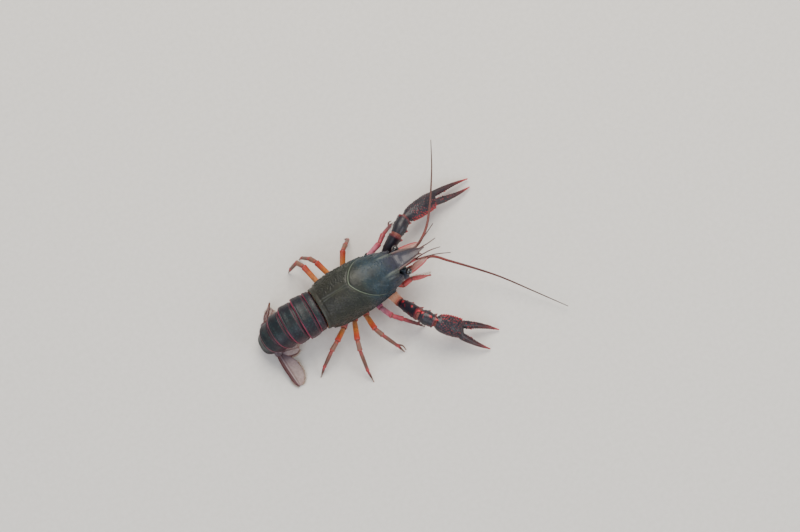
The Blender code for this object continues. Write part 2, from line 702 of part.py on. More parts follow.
def finger_studs(rings, top, biting, scale, draw):
    # Studs along the top of a finger and blunt teeth along its biting edge
    made = []
    for k in range(FINGER_STUDS):
        place = 1.0 + 4.2 * k / FINGER_STUDS
        point, outward = skin_spot(rings, place, top + draw.uniform(-0.7, 0.7))
        made.append(stud(point, outward, FINGER_STUD[0] * scale, FINGER_STUD[1] * scale, CLAW_SHELL))
        point, outward = skin_spot(rings, place + 0.5, biting)
        made.append(stud(point, outward, TOOTH[0] * scale, TOOTH[1] * scale, CLAW_SHELL))
    return made


def claw(side, wrist, knuckle, moving_tip, fixed_tip, half_width, last_run):
    # A palm with its fixed finger, and the movable finger on the side towards the head
    way = mirrored(side)
    wrist = Vector(wrist)
    knuckle = Vector(knuckle)
    axis = (knuckle - wrist).normalized()
    inner = Vector((axis.y, -axis.x, 0.0)).normalized() * way
    up = axis.cross(inner)
    quarter = 4 if up.z > 0 else -4
    face_normal = (Vector(last_run) + axis).normalized()
    start = wrist + axis * (GAP / 2) / axis.dot(face_normal)
    palm = []
    for place, wide, thick in PALM_SECTIONS:
        section = oval(wide * half_width, thick * half_width, 16, 2.3)
        palm.append(span_ring(start, knuckle, face_normal, axis, inner, place, section))
    body = loft("claw_palm_" + side, palm, CLAW_SHELL)

    scale = half_width / 5.5
    draw = random.Random(11)
    rings = {}
    for which, tip, out in (("fixed", fixed_tip, -inner), ("moving", moving_tip, inner)):
        tip = Vector(tip)
        root = knuckle + out * FINGER_ROOT * half_width
        root += axis * (GAP if which == "moving" else -0.4 * half_width)
        bow = out * FINGER_BOW
        route = (root, root.lerp(tip, 0.35) + bow, root.lerp(tip, 0.7) + bow, tip)
        rings[which] = finger_rings(route, inner, half_width, axis)

    extras = [loft("fixed_finger", rings["fixed"], CLAW_SHELL)]
    extras += finger_studs(rings["fixed"], 0.625 * quarter, 0.0, scale, draw)
    for k in range(PALM_STUDS):
        place = 1.3 + 4.0 * ((k * 0.618 + 0.2) % 1.0)
        around = quarter * (0.25 + 1.4 * (k + 0.5) / PALM_STUDS)
        point, outward = skin_spot(palm, place, around)
        grown = draw.uniform(0.75, 1.1) * scale
        radius, height = PALM_STUD
        extras.append(stud(point, outward, radius * grown, height * grown, CLAW_SHELL, axis * 0.25))
    for k in range(MARGIN_STUDS):
        point, outward = skin_spot(palm, 1.4 + 4.4 * k / MARGIN_STUDS, 0.0)
        radius, height = MARGIN_STUD
        extras.append(stud(point, outward, radius * scale, height * scale, CLAW_SHELL, axis * 0.35))
    fuse(body, extras)
    rest_on_floor(body)
    dactyl = loft("claw_dactyl_" + side, rings["moving"], CLAW_SHELL)
    fuse(dactyl, finger_studs(rings["moving"], 0.625 * quarter, 5.0, scale, draw))
    rest_on_floor(dactyl)


def chelipeds():
    radii = ((2.2, 2.2, 2.1), (2.1, 2.6, 2.8), (2.6, 3.2, 2.8))
    for side, route, shape in (("right", CHELIPED_RIGHT, CLAW_RIGHT), ("left", CHELIPED_LEFT, CLAW_LEFT)):
        way = mirrored(side)
        points = [Vector(p) for p in route]
        axis = (Vector(shape[0]) - points[-1]).normalized()
        last_run = (points[-1] - points[-2]).normalized()
        face_normal = (last_run + axis).normalized()
        points[-1] = points[-1] - last_run * (GAP / 2) / last_run.dot(face_normal)
        across = Vector((0, 0, 1)).cross(points[2] - points[1]).normalized()
        groups = ((0, 0), (1, 1), (2, 2))
        pieces = limb_pieces(points, radii, groups, across, Vector((0, way, 0)), face_normal, 12)
        inside = 0.0 if across.dot(points[3] - points[2]) * way < 0 else 6.0
        for part, rings in zip(("base", "merus", "carpus"), pieces):
            finish = JOINT_SKIN if part == "base" else CLAW_SHELL
            body = loft("cheliped_" + part + "_" + side, rings, finish)
            extras = []
            for place, around in CHELIPED_SPINES[part]:
                point, outward = skin_spot(rings, place, inside + around)
                extras.append(stud(point, outward, *CHELIPED_SPINE, finish, last_run * 0.5))
            if extras:
                fuse(body, extras)
        claw(side, route[-1], *shape, last_run)


def somite_section(half, arch, depth):
    # (across, up) pairs from the top round: a dorsal arch, hanging side flaps and a shallow belly
    right = []
    for k in range(1, 6):
        angle = k * math.pi / 10
        right.append((half * math.sin(angle) ** 0.85, -arch * (1 - math.cos(angle) ** 0.85)))
    right.append((half * 0.98, -(arch + depth) / 2))
    right.append((half * 0.88, -depth))
    right.append((half * 0.72, -depth + 0.7))
    right.append((half * 0.50, -depth + min(2.6, 0.35 * depth)))
    left = [(-a, b) for a, b in reversed(right)]
    return [(0.0, 0.0)] + right + [(0.0, -depth + min(3.0, 0.4 * depth))] + left


def abdomen():
    joints = [Vector(p) for p in TAIL_JOINTS]
    end = Vector(TELSON_END)
    runs = [(b - a).normalized() for a, b in zip(joints, joints[1:])]
    telson_run = (end - joints[-1]).normalized()
    normals = [Vector((-1, 0, 0))]
    normals += [(a + b).normalized() for a, b in zip(runs, runs[1:])]
    normals.append((runs[-1] * 2 + telson_run).normalized())
    side = Vector((0, -1, 0))
    for k, run in enumerate(runs):
        gap0 = GAP if k == 0 else GAP / 2
        start = joints[k] + run * gap0 / run.dot(normals[k])
        finish = joints[k + 1] - run * (GAP / 2) / run.dot(normals[k + 1])
        rings = []
        for place, share, drop in SOMITE_SHAPE:
            depth = SOMITE_DEPTHS[k] + drop * (0.5 if k in (0, 5) else 1.0)
            section = somite_section(SOMITE_HALF_WIDTHS[k] * share, SOMITE_ARCHES[k] * share, depth)
            lift = 0.35 * (share - 0.99) / 0.03
            section = [(a, b + lift) for a, b in section]
            rings.append(span_ring(start, finish, normals[k], normals[k + 1], side, place, section))
        body = loft("somite_" + str(k + 1), rings, TAIL_SHELL)
        if 1 <= k <= 4:
            # A pair of swimmerets, two narrow lobes each
            up = run.cross(side)
            lobes = []
            for way in (-1, 1):
                root = start.lerp(finish, 0.5) + side * 3.7 * way - up * (SOMITE_DEPTHS[k] - 3.6)
                for shift in (0.0, 1.0):
                    reach = SWIMMERET_LENGTH * (1.12 - 0.12 * shift - 0.12 * k)
                    tip = root - up * reach + side * (0.4 + 1.9 * shift) * way
                    tip += run * (k - 2.5 - 0.5 * shift)
                    sunk = root + up * 1.2 + side * 0.3 * shift * way
                    wide = SWIMMERET_HALF_WIDTH * (1 - 0.2 * shift)
                    lobes.append(blade("lobe", sunk, tip, side, wide, 0.8, SWIMMERET_BLADE, JOINT_SKIN))
            fuse(body, lobes)

    # Telson, folded under with its upper face to the floor
    profile = ((0.0, 0.92), (0.12, 1.0), (0.4, 1.02), (0.7, 0.96), (0.88, 0.86), (1.0, 0.5))
    hinge_normal = normals[-1]
    start = joints[-1] + telson_run * (GAP / 2) / telson_run.dot(hinge_normal)
    rings = []
    for place, share in profile:
        thick = 1.5 - 0.6 * place
        section = []
        half = TELSON_HALF_WIDTH * share
        for v in (-1.0, -0.5, 0.0, 0.5, 1.0):
            section.append((half * v, -0.15 * v * v))
        for v in (1.0, 0.5, 0.0, -0.5, -1.0):
            section.append((half * v, -thick + 0.3 * v * v))
        rings.append(span_ring(start, end, hinge_normal, telson_run, side, place, section))
    telson = loft("telson", rings, FAN_SHELL)
    rest_on_floor(telson)

    # Uropods: each a short stalk with an inner and an outer blade. The right one is spread
    # wide, and the left one is folded up beside the body.
    hinge = joints[-1]
    up = runs[-1].cross(side)
    for name, way, knee, inner, outer in (
        ("uropod_right", -1, UROPOD_KNEE_RIGHT, UROPOD_RIGHT_INNER, UROPOD_RIGHT_OUTER),
        ("uropod_left", 1, UROPOD_KNEE_LEFT, UROPOD_LEFT_INNER, UROPOD_LEFT_OUTER),
    ):
        knee = Vector(knee)
        offset = Vector((0, UROPOD_ROOT[0] * way, 0)) - up * UROPOD_ROOT[1]
        root = hinge + offset - runs[-1] * offset.dot(hinge_normal) / runs[-1].dot(hinge_normal)
        along = (knee - root).normalized()
        start = root + along * (GAP / 2) / along.dot(hinge_normal)
        across = Vector((1, 0, 0))
        rings = []
        for place, wide in ((0.0, 1.3), (0.2, 1.6), (0.8, 1.9), (1.0, 1.5)):
            section = oval(wide, 0.75 * wide, 10)
            rings.append(span_ring(start, knee, hinge_normal, along, across, place, section))
        stalk = loft(name, rings, FAN_SHELL)
        blades = []
        for (tip, across, half, edge), outline in ((inner, INNER_BLADE), (outer, OUTER_BLADE)):
            base = knee - along * 0.9 + (Vector(tip) - knee).normalized() * 0.3
            blades.append(blade("blade", base, tip, across, half, 1.0, outline, FAN_SHELL, edge))
        fuse(stalk, blades)
        rest_on_floor(stalk)


def main():
    for old in list(bpy.data.objects):
        bpy.data.objects.remove(old, do_unlink=True)
    carapace()
    sternum()
    face()
    eyes()
    feelers()
    maxillipeds()
    chelipeds()
    walking_legs()
    abdomen()

    # The whole animal hangs from one empty, which puts the middle of its box over the origin
    pieces = list(bpy.data.objects)
    bpy.context.view_layer.update()
    low = Vector((1, 1, 1))
    high = -low
    for piece in pieces:
        for vertex in piece.data.vertices:
            spot = piece.matrix_world @ vertex.co
            low = Vector(map(min, low, spot))
            high = Vector(map(max, high, spot))
    stand = bpy.data.objects.new("crayfish", None)
    bpy.context.scene.collection.objects.link(stand)
    stand.location = (-(low.x + high.x) / 2, -(low.y + high.y) / 2, -low.z)
    for piece in pieces:
        piece.parent = stand


main()
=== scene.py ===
# Red swamp crayfish, a still, life-size model: the finish of every piece, built around the packed
# solids. Shapes are worked out in millimetres in the animal's own frame: x towards the head with 0
# at the rear edge of the carapace, y towards the animal's left with 0 on its midline, z up.

import math
import random

import bpy
import numpy as np
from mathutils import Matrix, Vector
from mathutils.kdtree import KDTree


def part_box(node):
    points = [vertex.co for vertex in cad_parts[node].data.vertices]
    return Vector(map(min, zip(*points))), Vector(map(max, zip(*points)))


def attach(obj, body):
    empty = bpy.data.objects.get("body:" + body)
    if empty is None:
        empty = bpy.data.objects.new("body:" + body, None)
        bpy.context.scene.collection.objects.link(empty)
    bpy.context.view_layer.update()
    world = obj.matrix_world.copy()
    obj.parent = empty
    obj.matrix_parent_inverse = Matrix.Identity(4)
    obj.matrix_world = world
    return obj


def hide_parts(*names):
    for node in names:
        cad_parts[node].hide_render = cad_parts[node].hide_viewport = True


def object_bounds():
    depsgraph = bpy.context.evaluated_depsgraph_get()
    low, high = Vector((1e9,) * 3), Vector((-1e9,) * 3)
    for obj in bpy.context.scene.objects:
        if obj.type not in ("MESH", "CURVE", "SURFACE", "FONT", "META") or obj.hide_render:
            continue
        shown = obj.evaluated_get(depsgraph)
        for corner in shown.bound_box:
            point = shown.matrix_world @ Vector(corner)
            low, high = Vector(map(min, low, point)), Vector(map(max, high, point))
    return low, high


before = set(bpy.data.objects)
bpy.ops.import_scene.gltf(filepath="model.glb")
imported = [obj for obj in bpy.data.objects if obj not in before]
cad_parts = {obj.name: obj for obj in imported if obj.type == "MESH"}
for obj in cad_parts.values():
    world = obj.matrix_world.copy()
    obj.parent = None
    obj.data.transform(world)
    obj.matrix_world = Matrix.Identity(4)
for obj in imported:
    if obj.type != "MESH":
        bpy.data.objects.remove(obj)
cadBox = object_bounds()

mm = 0.001
# Steps of this share of a whole come to lie evenly over it
goldenShare = 0.618034
rostrumTip = 51.4
shellLow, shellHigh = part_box("carapace")
bodyOrigin = np.array((shellHigh.x - rostrumTip * mm, (shellLow.y + shellHigh.y) / 2, 0.0))


# Numbers and vectors

def smoothThrough(stations, x):
    # A smooth curve through (place, value) stations, level past both ends
    xs, ys = np.array(stations, float).T
    x = np.clip(np.asarray(x, float), xs[0], xs[-1])
    k = np.clip(np.searchsorted(xs, x) - 1, 0, len(xs) - 2)
    before = np.maximum(k - 1, 0)
    after = np.minimum(k + 2, len(xs) - 1)
    span = xs[k + 1] - xs[k]
    f = (x - xs[k]) / span
    slope0 = (ys[k + 1] - ys[before]) / (xs[k + 1] - xs[before])
    slope1 = (ys[after] - ys[k]) / (xs[after] - xs[k])
    rise = (2 * f**3 - 3 * f**2 + 1) * ys[k] + (3 * f**2 - 2 * f**3) * ys[k + 1]
    return rise + span * ((f**3 - 2 * f**2 + f) * slope0 + (f**3 - f**2) * slope1)


def curvePoints(points, count):
    # Evenly spread points on one smooth curve through the given ones
    points = np.array(points, float)
    places = np.concatenate(([0.0], np.cumsum(np.linalg.norm(np.diff(points, axis=0), axis=1))))
    spread = np.linspace(0, places[-1], count)
    return np.stack([smoothThrough(np.stack((places, points[:, k]), 1), spread) for k in range(3)], 1)


def unit(v):
    v = np.asarray(v, float)
    return v / np.maximum(np.linalg.norm(v, axis=-1, keepdims=True), 1e-9)


def bell(distance, width):
    return np.exp(-((distance / width) ** 2))


def easeStep(x, low, high):
    f = np.clip((x - low) / (high - low), 0, 1)
    return f * f * (3 - 2 * f)


def ovalRing(columns, wide, high, power=2.0):
    # (across, up) pairs of a superellipse for each row of half widths and half heights
    angle = np.linspace(0, 2 * math.pi, columns, endpoint=False)
    across = np.sign(np.cos(angle)) * np.abs(np.cos(angle)) ** (2 / power)
    up = np.sign(np.sin(angle)) * np.abs(np.sin(angle)) ** (2 / power)
    return np.stack((np.multiply.outer(wide, across), np.multiply.outer(high, up)), -1)


def squareTo(along, side):
    # The direction square to a run that is nearest to the given side, and the one square to both
    across = unit(side - along * (along * side).sum(-1, keepdims=True))
    return across, np.cross(along, across)


def sweep(path, side, sections, along=None):
    # Sections carried along a path, square to it, with their across direction near the given side
    across, up = squareTo(unit(np.gradient(path, axis=0)) if along is None else along, side)
    return path[:, None] + across[:, None] * sections[..., :1] + up[:, None] * sections[..., 1:]


def spanGrid(start, end, startNormal, endNormal, side, place, sections):
    # Sections from start to end, between two end faces that are slanted planes
    run = unit(end - start)
    across, up = squareTo(run, side)
    offset = across * sections[..., :1] + up * sections[..., 1:2]
    slide0, slide1 = (-(offset @ normal) / (run @ normal) for normal in (startNormal, endNormal))
    place = place[:, None]
    slide = slide0 * (1 - place) + slide1 * place
    return start + (end - start) * place[..., None] + offset + run * slide[..., None]


# Meshes

def outwardOf(grid):
    # The outward direction at each point of a grid whose columns run round the form
    lengthwise = np.gradient(grid, axis=0)
    crosswise = np.roll(grid, -1, axis=1) - np.roll(grid, 1, axis=1)
    outward = unit(np.cross(lengthwise, crosswise))
    away = grid - grid.mean(axis=1, keepdims=True)
    return outward if (outward * away).sum() > 0 else -outward


def skin(grid, along=None, relief=None, edge=None, finish=0, rounding=None):
    # A closed form from rings of points, with the marks that its finishes read. A rounding gives it
    # two more rings at each end, drawn in so that it ends round.
    marks = {}
    along = np.linspace(0, 1, len(grid)) if along is None else along
    for name, values in (("along", along), ("relief", relief), ("edge", edge)):
        values = np.zeros(len(grid)) if values is None else values
        values = np.broadcast_to(values.reshape(len(values), -1), grid.shape[:2])
        marks[name] = (values if rounding is None else np.pad(values, ((2, 2), (0, 0)), "edge")).reshape(-1)
    grid = grid if rounding is None else closedEnds(grid, rounding)
    rows, columns = grid.shape[:2]
    index = np.arange(rows * columns).reshape(rows, columns)
    a, d = index[:-1], index[1:]
    b, c = np.roll(a, -1, axis=1), np.roll(d, -1, axis=1)
    quads = np.stack((a, b, c, d), -1).reshape(-1, 4)
    flat = grid.reshape(-1, 3)
    p, q, r, s = (flat[quads[:, k]] for k in range(4))
    volume = (p * np.cross(q, r)).sum() + (p * np.cross(r, s)).sum()
    ends = [index[0][::-1].tolist(), index[-1].tolist()]
    if volume < 0:
        quads = quads[:, ::-1]
        ends = [end[::-1] for end in ends]
    return {"points": flat, "faces": quads.tolist() + ends, "marks": marks, "finish": finish}


def raiseBumps(grid, bumps, full=0.45):
    # Tubercles and spines drawn out of a form: (row, column, radius, height, lean, sharpness) each
    rows, columns = grid.shape[:2]
    outward = outwardOf(grid)
    tree = KDTree(rows * columns)
    for k, point in enumerate(grid.reshape(-1, 3)):
        tree.insert(point, k)
    tree.balance()
    shift = np.zeros((rows * columns, 3))
    height = np.zeros(rows * columns)
    for row, column, radius, tall, lean, sharpness in bumps:
        row = min(max(int(round(row)), 0), rows - 1)
        column = int(round(column)) % columns
        way = outward[row, column] + np.asarray(lean, float)
        for _, k, distance in tree.find_range(grid[row, column], radius):
            share = (1 - (distance / radius) ** 2) ** sharpness
            if share * tall > height[k]:
                height[k] = share * tall
                shift[k] = way * share * tall
    grid = grid + shift.reshape(rows, columns, 3)
    return grid, np.clip(height.reshape(rows, columns) / full, 0, 1)


def closedEnds(grid, rounding):
    # Two more rings at each end, drawn in so that the form ends round
    ends = []
    for ring, before in ((grid[0], grid[2]), (grid[-1], grid[-3])):
        middle = ring.mean(0)
        out = unit(middle - before.mean(0)) * np.linalg.norm(ring - middle, axis=1).mean() * rounding
        steps = ((0.25, 1.0), (0.75, 0.6))
        ends.append([middle + (ring - middle) * share + out * push for share, push in steps])
    return np.concatenate((ends[0], grid, ends[1][::-1]))


def padMarks(marks):
    # The same marks for a grid that closedEnds has lengthened
    return np.pad(marks, 2, "edge")


def setae(roots, ways, lengths, thick):
    # Bristles as fine closed spikes of three sides, each with a small patch of its own on the bake map
    points, faces, places = [], [], []
    for root, way, length, place in zip(roots, ways, lengths, np.linspace(0.02, 0.98, len(roots))):
        way = unit(way)
        side = unit(np.cross(way, (0.31, 0.2, 0.93)))
        up = np.cross(way, side)
        base = len(points)
        for reach, share in ((-0.12, 1.0), (0.55, 0.7)):
            for angle in (0, 2 * math.pi / 3, 4 * math.pi / 3):
                out = side * math.cos(angle) + up * math.sin(angle)
                points.append(root + way * length * reach + out * thick * share)
                places.append((place + 0.0015 * math.cos(angle), 0.5 + 0.0015 * (reach + 0.1)))
        points.append(root + way * length)
        places.append((place, 0.5015))
        for turn, after in ((0, 1), (1, 2), (2, 0)):
            faces.append([base + turn, base + after, base + 3 + after, base + 3 + turn])
            faces.append([base + 3 + turn, base + 3 + after, base + 6])
        faces.append([base + 2, base + 1, base])
    marks = {name: np.zeros(len(points)) for name in ("along", "relief", "edge")}
    return {"points": np.array(points), "faces": faces, "marks": marks, "finish": 0, "places": places}


def addPiece(node, shapes, finishes, name=None):
    # One object from its closed forms, on the animal's body, in place of the node that it stands for
    first, *others = node.split("_")
    name = name or first + "".join(word.title() for word in others)
    points = np.concatenate([shape["points"] for shape in shapes]) * mm + bodyOrigin
    points = np.clip(points, *cadBox)
    faces, finish = [], []
    base = 0
    for shape in shapes:
        faces += [[k + base for k in face] for face in shape["faces"]]
        kinds = shape["finish"]
        finish += [kinds] * len(shape["faces"]) if isinstance(kinds, int) else list(kinds)
        base += len(shape["points"])
    mesh = bpy.data.meshes.new(name)
    mesh.from_pydata(points.tolist(), [], faces)
    mesh.shade_smooth()
    for material in finishes:
        mesh.materials.append(material)
    mesh.polygons.foreach_set("material_index", finish)
    for mark in ("along", "relief", "edge"):
        values = np.concatenate([shape["marks"][mark] for shape in shapes])
        mesh.attributes.new(mark, "FLOAT", "POINT").data.foreach_set("value", values)
    if all("places" in shape for shape in shapes):
        places = [place for shape in shapes for place in shape["places"]]
        layer = mesh.uv_layers.new(name="OFBake")
        for loop in mesh.loops:
            layer.data[loop.index].uv = places[loop.vertex_index]
    piece = bpy.data.objects.new(name, mesh)
    bpy.context.scene.collection.objects.link(piece)
    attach(piece, "root")
    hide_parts(node)


# Materials

def linearColour(hexColour):
    channels = [int(hexColour[k:k + 2], 16) / 255 for k in (1, 3, 5)]
    linear = [c / 12.92 if c <= 0.04045 else ((c + 0.055) / 1.055) ** 2.4 for c in channels]
    return (*linear, 1.0)


def addNode(tree, kind, settings=(), links=()):
    # One node with its settings, and its inputs from other nodes' outputs or from fixed values
    node = tree.nodes.new("ShaderNode" + kind)
    for name, value in dict(settings).items():
        if name == "stops":
            ramp = node.color_ramp.elements
            while len(ramp) < len(value):
                ramp.new(0.5)
            for element, (place, colour) in zip(ramp, value):
                element.position = place
                element.color = linearColour(colour)
        else:
            setattr(node, name, value)
    for name, value in dict(links).items():
        if isinstance(value, bpy.types.NodeSocket):
            tree.links.new(value, node.inputs[name])
        else:
            node.inputs[name].default_value = value
    return node


def perMetre(size):
    # The scale of a pattern whose features are so many millimetres across
    return 1 / (size * mm)


def cuticle(name, along, **changes):
    # Crayfish cuticle: chitin hardened with lime, a waxy semi-gloss skin over mottled pigment. Its
    # colour runs along the piece, tubercles stand out in their own colour, and joint edges are worn.
    look = {
        "cloudSize": 3.5, "cloud": 0.6, "cloudColour": "#1b2429",
        "speckleSize": 0.9, "speckle": 0.25, "speckleColour": "#5f6a58",
        "under": 0.5, "underColour": "#8a3f2c", "edge": 0.6, "edgeColour": "#a8402e",
        "relief": 0.8, "reliefColour": "#7a2a22", "pitSize": 0.45, "pitDepth": 0.12, "bump": 0.35,
        "rough": 0.36, "coat": 0.25, "coatRough": 0.22, "soft": 0.0, "softDepth": 0.8, "ior": 1.5,
    }
    look.update(changes)
    material = bpy.data.materials.new(name)
    material.use_nodes = True
    tree = material.node_tree
    shader = tree.nodes["Principled BSDF"]
    place = addNode(tree, "TexCoord").outputs["Object"]
    marks = {mark: addNode(tree, "Attribute", {"attribute_name": mark}).outputs["Fac"]
             for mark in ("along", "relief", "edge")}
    up = addNode(tree, "SeparateXYZ", (), {0: addNode(tree, "NewGeometry").outputs["Normal"]}).outputs["Z"]
    clouds = addNode(tree, "TexNoise", (), {
        "Vector": place, "Scale": perMetre(look["cloudSize"]),
        "Detail": 4.0, "Roughness": 0.6}).outputs["Fac"]
    speckle = addNode(tree, "TexVoronoi", {"feature": "F1"}, {
        "Vector": place, "Scale": perMetre(look["speckleSize"])}).outputs["Distance"]

    # Over the colour along the piece: what each layer follows, and from where to where it comes in
    colour = addNode(tree, "ValToRGB", {"stops": along}, {"Fac": marks["along"]}).outputs["Color"]
    for layer, source, low, high in (
        ("cloud", clouds, 0.42, 0.68),              # pigment in soft clouds, a few millimetres wide
        ("speckle", speckle, 0.42, 0.14),           # and in fine spots
        ("under", up, 0.15, -0.7),                  # the underside is paler and redder than the back
        ("edge", marks["edge"], 0.0, 1.0),
        ("relief", marks["relief"], 0.15, 0.85),
    ):
        share = addNode(tree, "MapRange", (), {
            "Value": source, "From Min": low, "From Max": high, "To Max": look[layer]}).outputs["Result"]
        colour = addNode(tree, "Mix", {"data_type": "RGBA"}, {
            0: share, 6: colour, 7: linearColour(look[layer + "Colour"])}).outputs[2]
    tree.links.new(colour, shader.inputs["Base Color"])

    # Pits and growth texture, about a tenth of a millimetre deep
    pits = addNode(tree, "TexVoronoi", {"feature": "SMOOTH_F1"}, {
        "Vector": place, "Scale": perMetre(look["pitSize"]), "Smoothness": 0.4}).outputs["Distance"]
    grain = addNode(tree, "TexNoise", (), {
        "Vector": place, "Scale": perMetre(look["pitSize"] * 0.6), "Detail": 3.0}).outputs["Fac"]
    height = addNode(tree, "Math", {"operation": "MULTIPLY_ADD"}, {0: pits, 1: 0.7, 2: grain}).outputs[0]
    bump = addNode(tree, "Bump", (), {
        "Height": height, "Strength": look["bump"], "Distance": look["pitDepth"] * mm}).outputs["Normal"]
    tree.links.new(bump, shader.inputs["Normal"])
    rough = addNode(tree, "MapRange", (), {
        "Value": clouds, "From Min": 0.3, "From Max": 0.7,
        "To Min": look["rough"] - 0.06, "To Max": look["rough"] + 0.08}).outputs["Result"]
    tree.links.new(rough, shader.inputs["Roughness"])
    values = {"IOR": look["ior"], "Coat Weight": look["coat"], "Coat Roughness": look["coatRough"]}
    if look["soft"]:
        # Thin cuticle lets some light through to the flesh and blood below
        values["Subsurface Weight"] = look["soft"]
        values["Subsurface Radius"] = (1.0, 0.5, 0.35)
        values["Subsurface Scale"] = look["softDepth"] * mm
    for socket, value in values.items():
        shader.inputs[socket].default_value = value
    return material


# The carapace: dark blue green over the head, dark olive and granular over the gills
carapaceCuticle = cuticle("carapace cuticle, dark olive slate",
    ((0.0, "#232119"), (0.30, "#1f2017"), (0.50, "#1d241d"), (0.62, "#0c2833"), (0.80, "#102a38"),
     (0.92, "#252838"), (1.0, "#2a2836")),
    cloudSize=4.0, cloud=0.7, cloudColour="#0f1414", speckleSize=1.1, speckleColour="#3c4432",
    underColour="#5c3430", edge=0.85, edgeColour="#95a08c", relief=0.6, reliefColour="#131712",
    bump=0.28, rough=0.48, coat=0.06, ior=1.42)
# The rostrum's rims: the same cuticle, worn to a pinkish brown
rostrumCuticle = cuticle("rostrum cuticle, slate with brown rims",
    ((0.0, "#272a3a"), (0.5, "#2a2836"), (1.0, "#42282a")),
    cloudSize=3.0, cloudColour="#171a20", speckle=0.2, speckleColour="#5c5a58",
    underColour="#6b3a33", edge=0.75, edgeColour="#8a6a5c",
    relief=0.5, reliefColour="#6b4038", rough=0.44, coat=0.12)
# The tail: nearly black blue plates, glossier, whose rear rims are wine red towards the flanks
tailCuticle = cuticle("tail cuticle, blue black",
    ((0.0, "#0b1318"), (0.35, "#0b181e"), (0.6, "#10111c"), (0.85, "#1c141f"), (1.0, "#381b27")),
    cloud=0.7, cloudColour="#0b1015", speckleSize=1.0, speckle=0.22, speckleColour="#2f5552",
    under=0.6, underColour="#7a3f3c", edge=0.9, edgeColour="#7c1f3c", relief=0.35, reliefColour="#0c1114",
    bump=0.3, rough=0.47, coat=0.05, ior=1.4)
# The claws: blue black with blood red tubercles, and bright red at the finger tips
clawCuticle = cuticle("claw cuticle, blue black to red",
    ((0.0, "#1d1a26"), (0.35, "#171823"), (0.55, "#20161f"), (0.78, "#38181c"), (0.9, "#6e2024"),
     (1.0, "#c23a3c")),
    cloudSize=2.5, cloudColour="#0f0f16", speckleSize=0.8, speckle=0.2, speckleColour="#572029",
    under=0.8, underColour="#96291f", edge=0.55, edgeColour="#6e2026", relief=1.0, reliefColour="#b5202c",
    rough=0.42, coat=0.12, ior=1.44)
# What the finishes of the thin limbs share
limbLook = {
    "cloudSize": 1.4, "cloud": 0.4, "speckleSize": 0.6, "speckle": 0.08, "under": 0.35, "edge": 0.35,
    "relief": 0.7, "pitSize": 0.35, "bump": 0.25, "rough": 0.46, "coat": 0.08, "soft": 0.12,
}
# Walking legs: lilac pink at the root of the long length, orange, then red at the knee, and brown
# with red joints from there to a horn coloured tip
legCuticle = cuticle("leg cuticle, orange to red brown",
    ((0.0, "#b5684a"), (0.17, "#8f4a5a"), (0.23, "#c9895c"), (0.30, "#cf7a3a"), (0.36, "#b5482a"),
     (0.41, "#a83226"), (0.46, "#7a5040"), (0.56, "#745040"), (0.6, "#9a3036"), (0.65, "#6e4236"),
     (0.74, "#5a3a30"), (0.8, "#a02a36"), (0.86, "#4c2a28"), (1.0, "#7c6656")),
    **limbLook, cloudColour="#4a2422", speckleColour="#c98a5c", underColour="#c47c50",
    edgeColour="#a5302a", reliefColour="#8a2a26")
# The first walking legs: lilac pink all along, and crimson past the knee
frontLegCuticle = cuticle("front leg cuticle, lilac pink to crimson",
    ((0.0, "#a8586a"), (0.17, "#9c5a7a"), (0.25, "#c88a9c"), (0.36, "#c4687c"), (0.41, "#a83244"),
     (0.5, "#8a2c38"), (0.62, "#94303c"), (0.72, "#642a2e"), (0.9, "#40282a"), (1.0, "#7c6656")),
    **limbLook, cloudColour="#5a2c38", speckleColour="#d0a0a8", underColour="#cf9088",
    edgeColour="#982a3a", reliefColour="#8a2430")
# Mouth limbs and feeler stems: pink red
palpCuticle = cuticle("palp cuticle, pink red",
    ((0.0, "#a84a3c"), (0.4, "#b04444"), (0.8, "#b5484c"), (1.0, "#9a4a44")),
    **limbLook | {"cloud": 0.45, "speckle": 0.1, "under": 0.3, "edge": 0.4, "soft": 0.15},
    cloudColour="#5c2a2a", speckleColour="#d99a78", underColour="#cf8a66",
    edgeColour="#7c2426", reliefColour="#7c2426")
# Antennal scales: a thin pale leaf you can nearly see through, with a thick pink red outer margin
scaleCuticle = cuticle("antennal scale cuticle, pale with pink rim",
    ((0.0, "#a05048"), (0.25, "#a87468"), (1.0, "#b08c80")),
    cloudSize=1.2, cloud=0.4, cloudColour="#8a6258", speckleSize=0.5, speckle=0.2, speckleColour="#9c5a54",
    under=0.2, underColour="#c0a090", edge=1.0, edgeColour="#a83c44", pitSize=0.35, bump=0.2, rough=0.46,
    coat=0.08, soft=0.3)
# Base of the great claws: peach, hard but lightly coloured
baseCuticle = cuticle("claw base cuticle, peach",
    ((0.0, "#c47a5a"), (0.09, "#dca888"), (0.143, "#b5624a"), (1.0, "#b5624a")),
    cloudSize=1.8, cloud=0.35, cloudColour="#a5583c", speckleSize=0.7, speckle=0.2, speckleColour="#e2c0a0",
    under=0.2, underColour="#d9a07c", edge=0.5, edgeColour="#8a3a30", relief=0.5, reliefColour="#a5402e",
    rough=0.46, coat=0.08, soft=0.2)
# Joint skin: arthrodial membrane, unhardened cuticle that is matt, pleated and a little see-through
jointMembrane = cuticle("joint membrane, dull red",
    ((0.0, "#68352b"), (0.5, "#702e25"), (1.0, "#5a2621")),
    cloudSize=1.5, cloud=0.5, cloudColour="#421c1a", speckle=0.1, speckleColour="#9c6248",
    under=0.3, underColour="#b0704f", edge=0.3, edgeColour="#6c2c24", relief=0.3, reliefColour="#7c3c2c",
    pitSize=0.3, bump=0.3, rough=0.55, coat=0.0, soft=0.15)
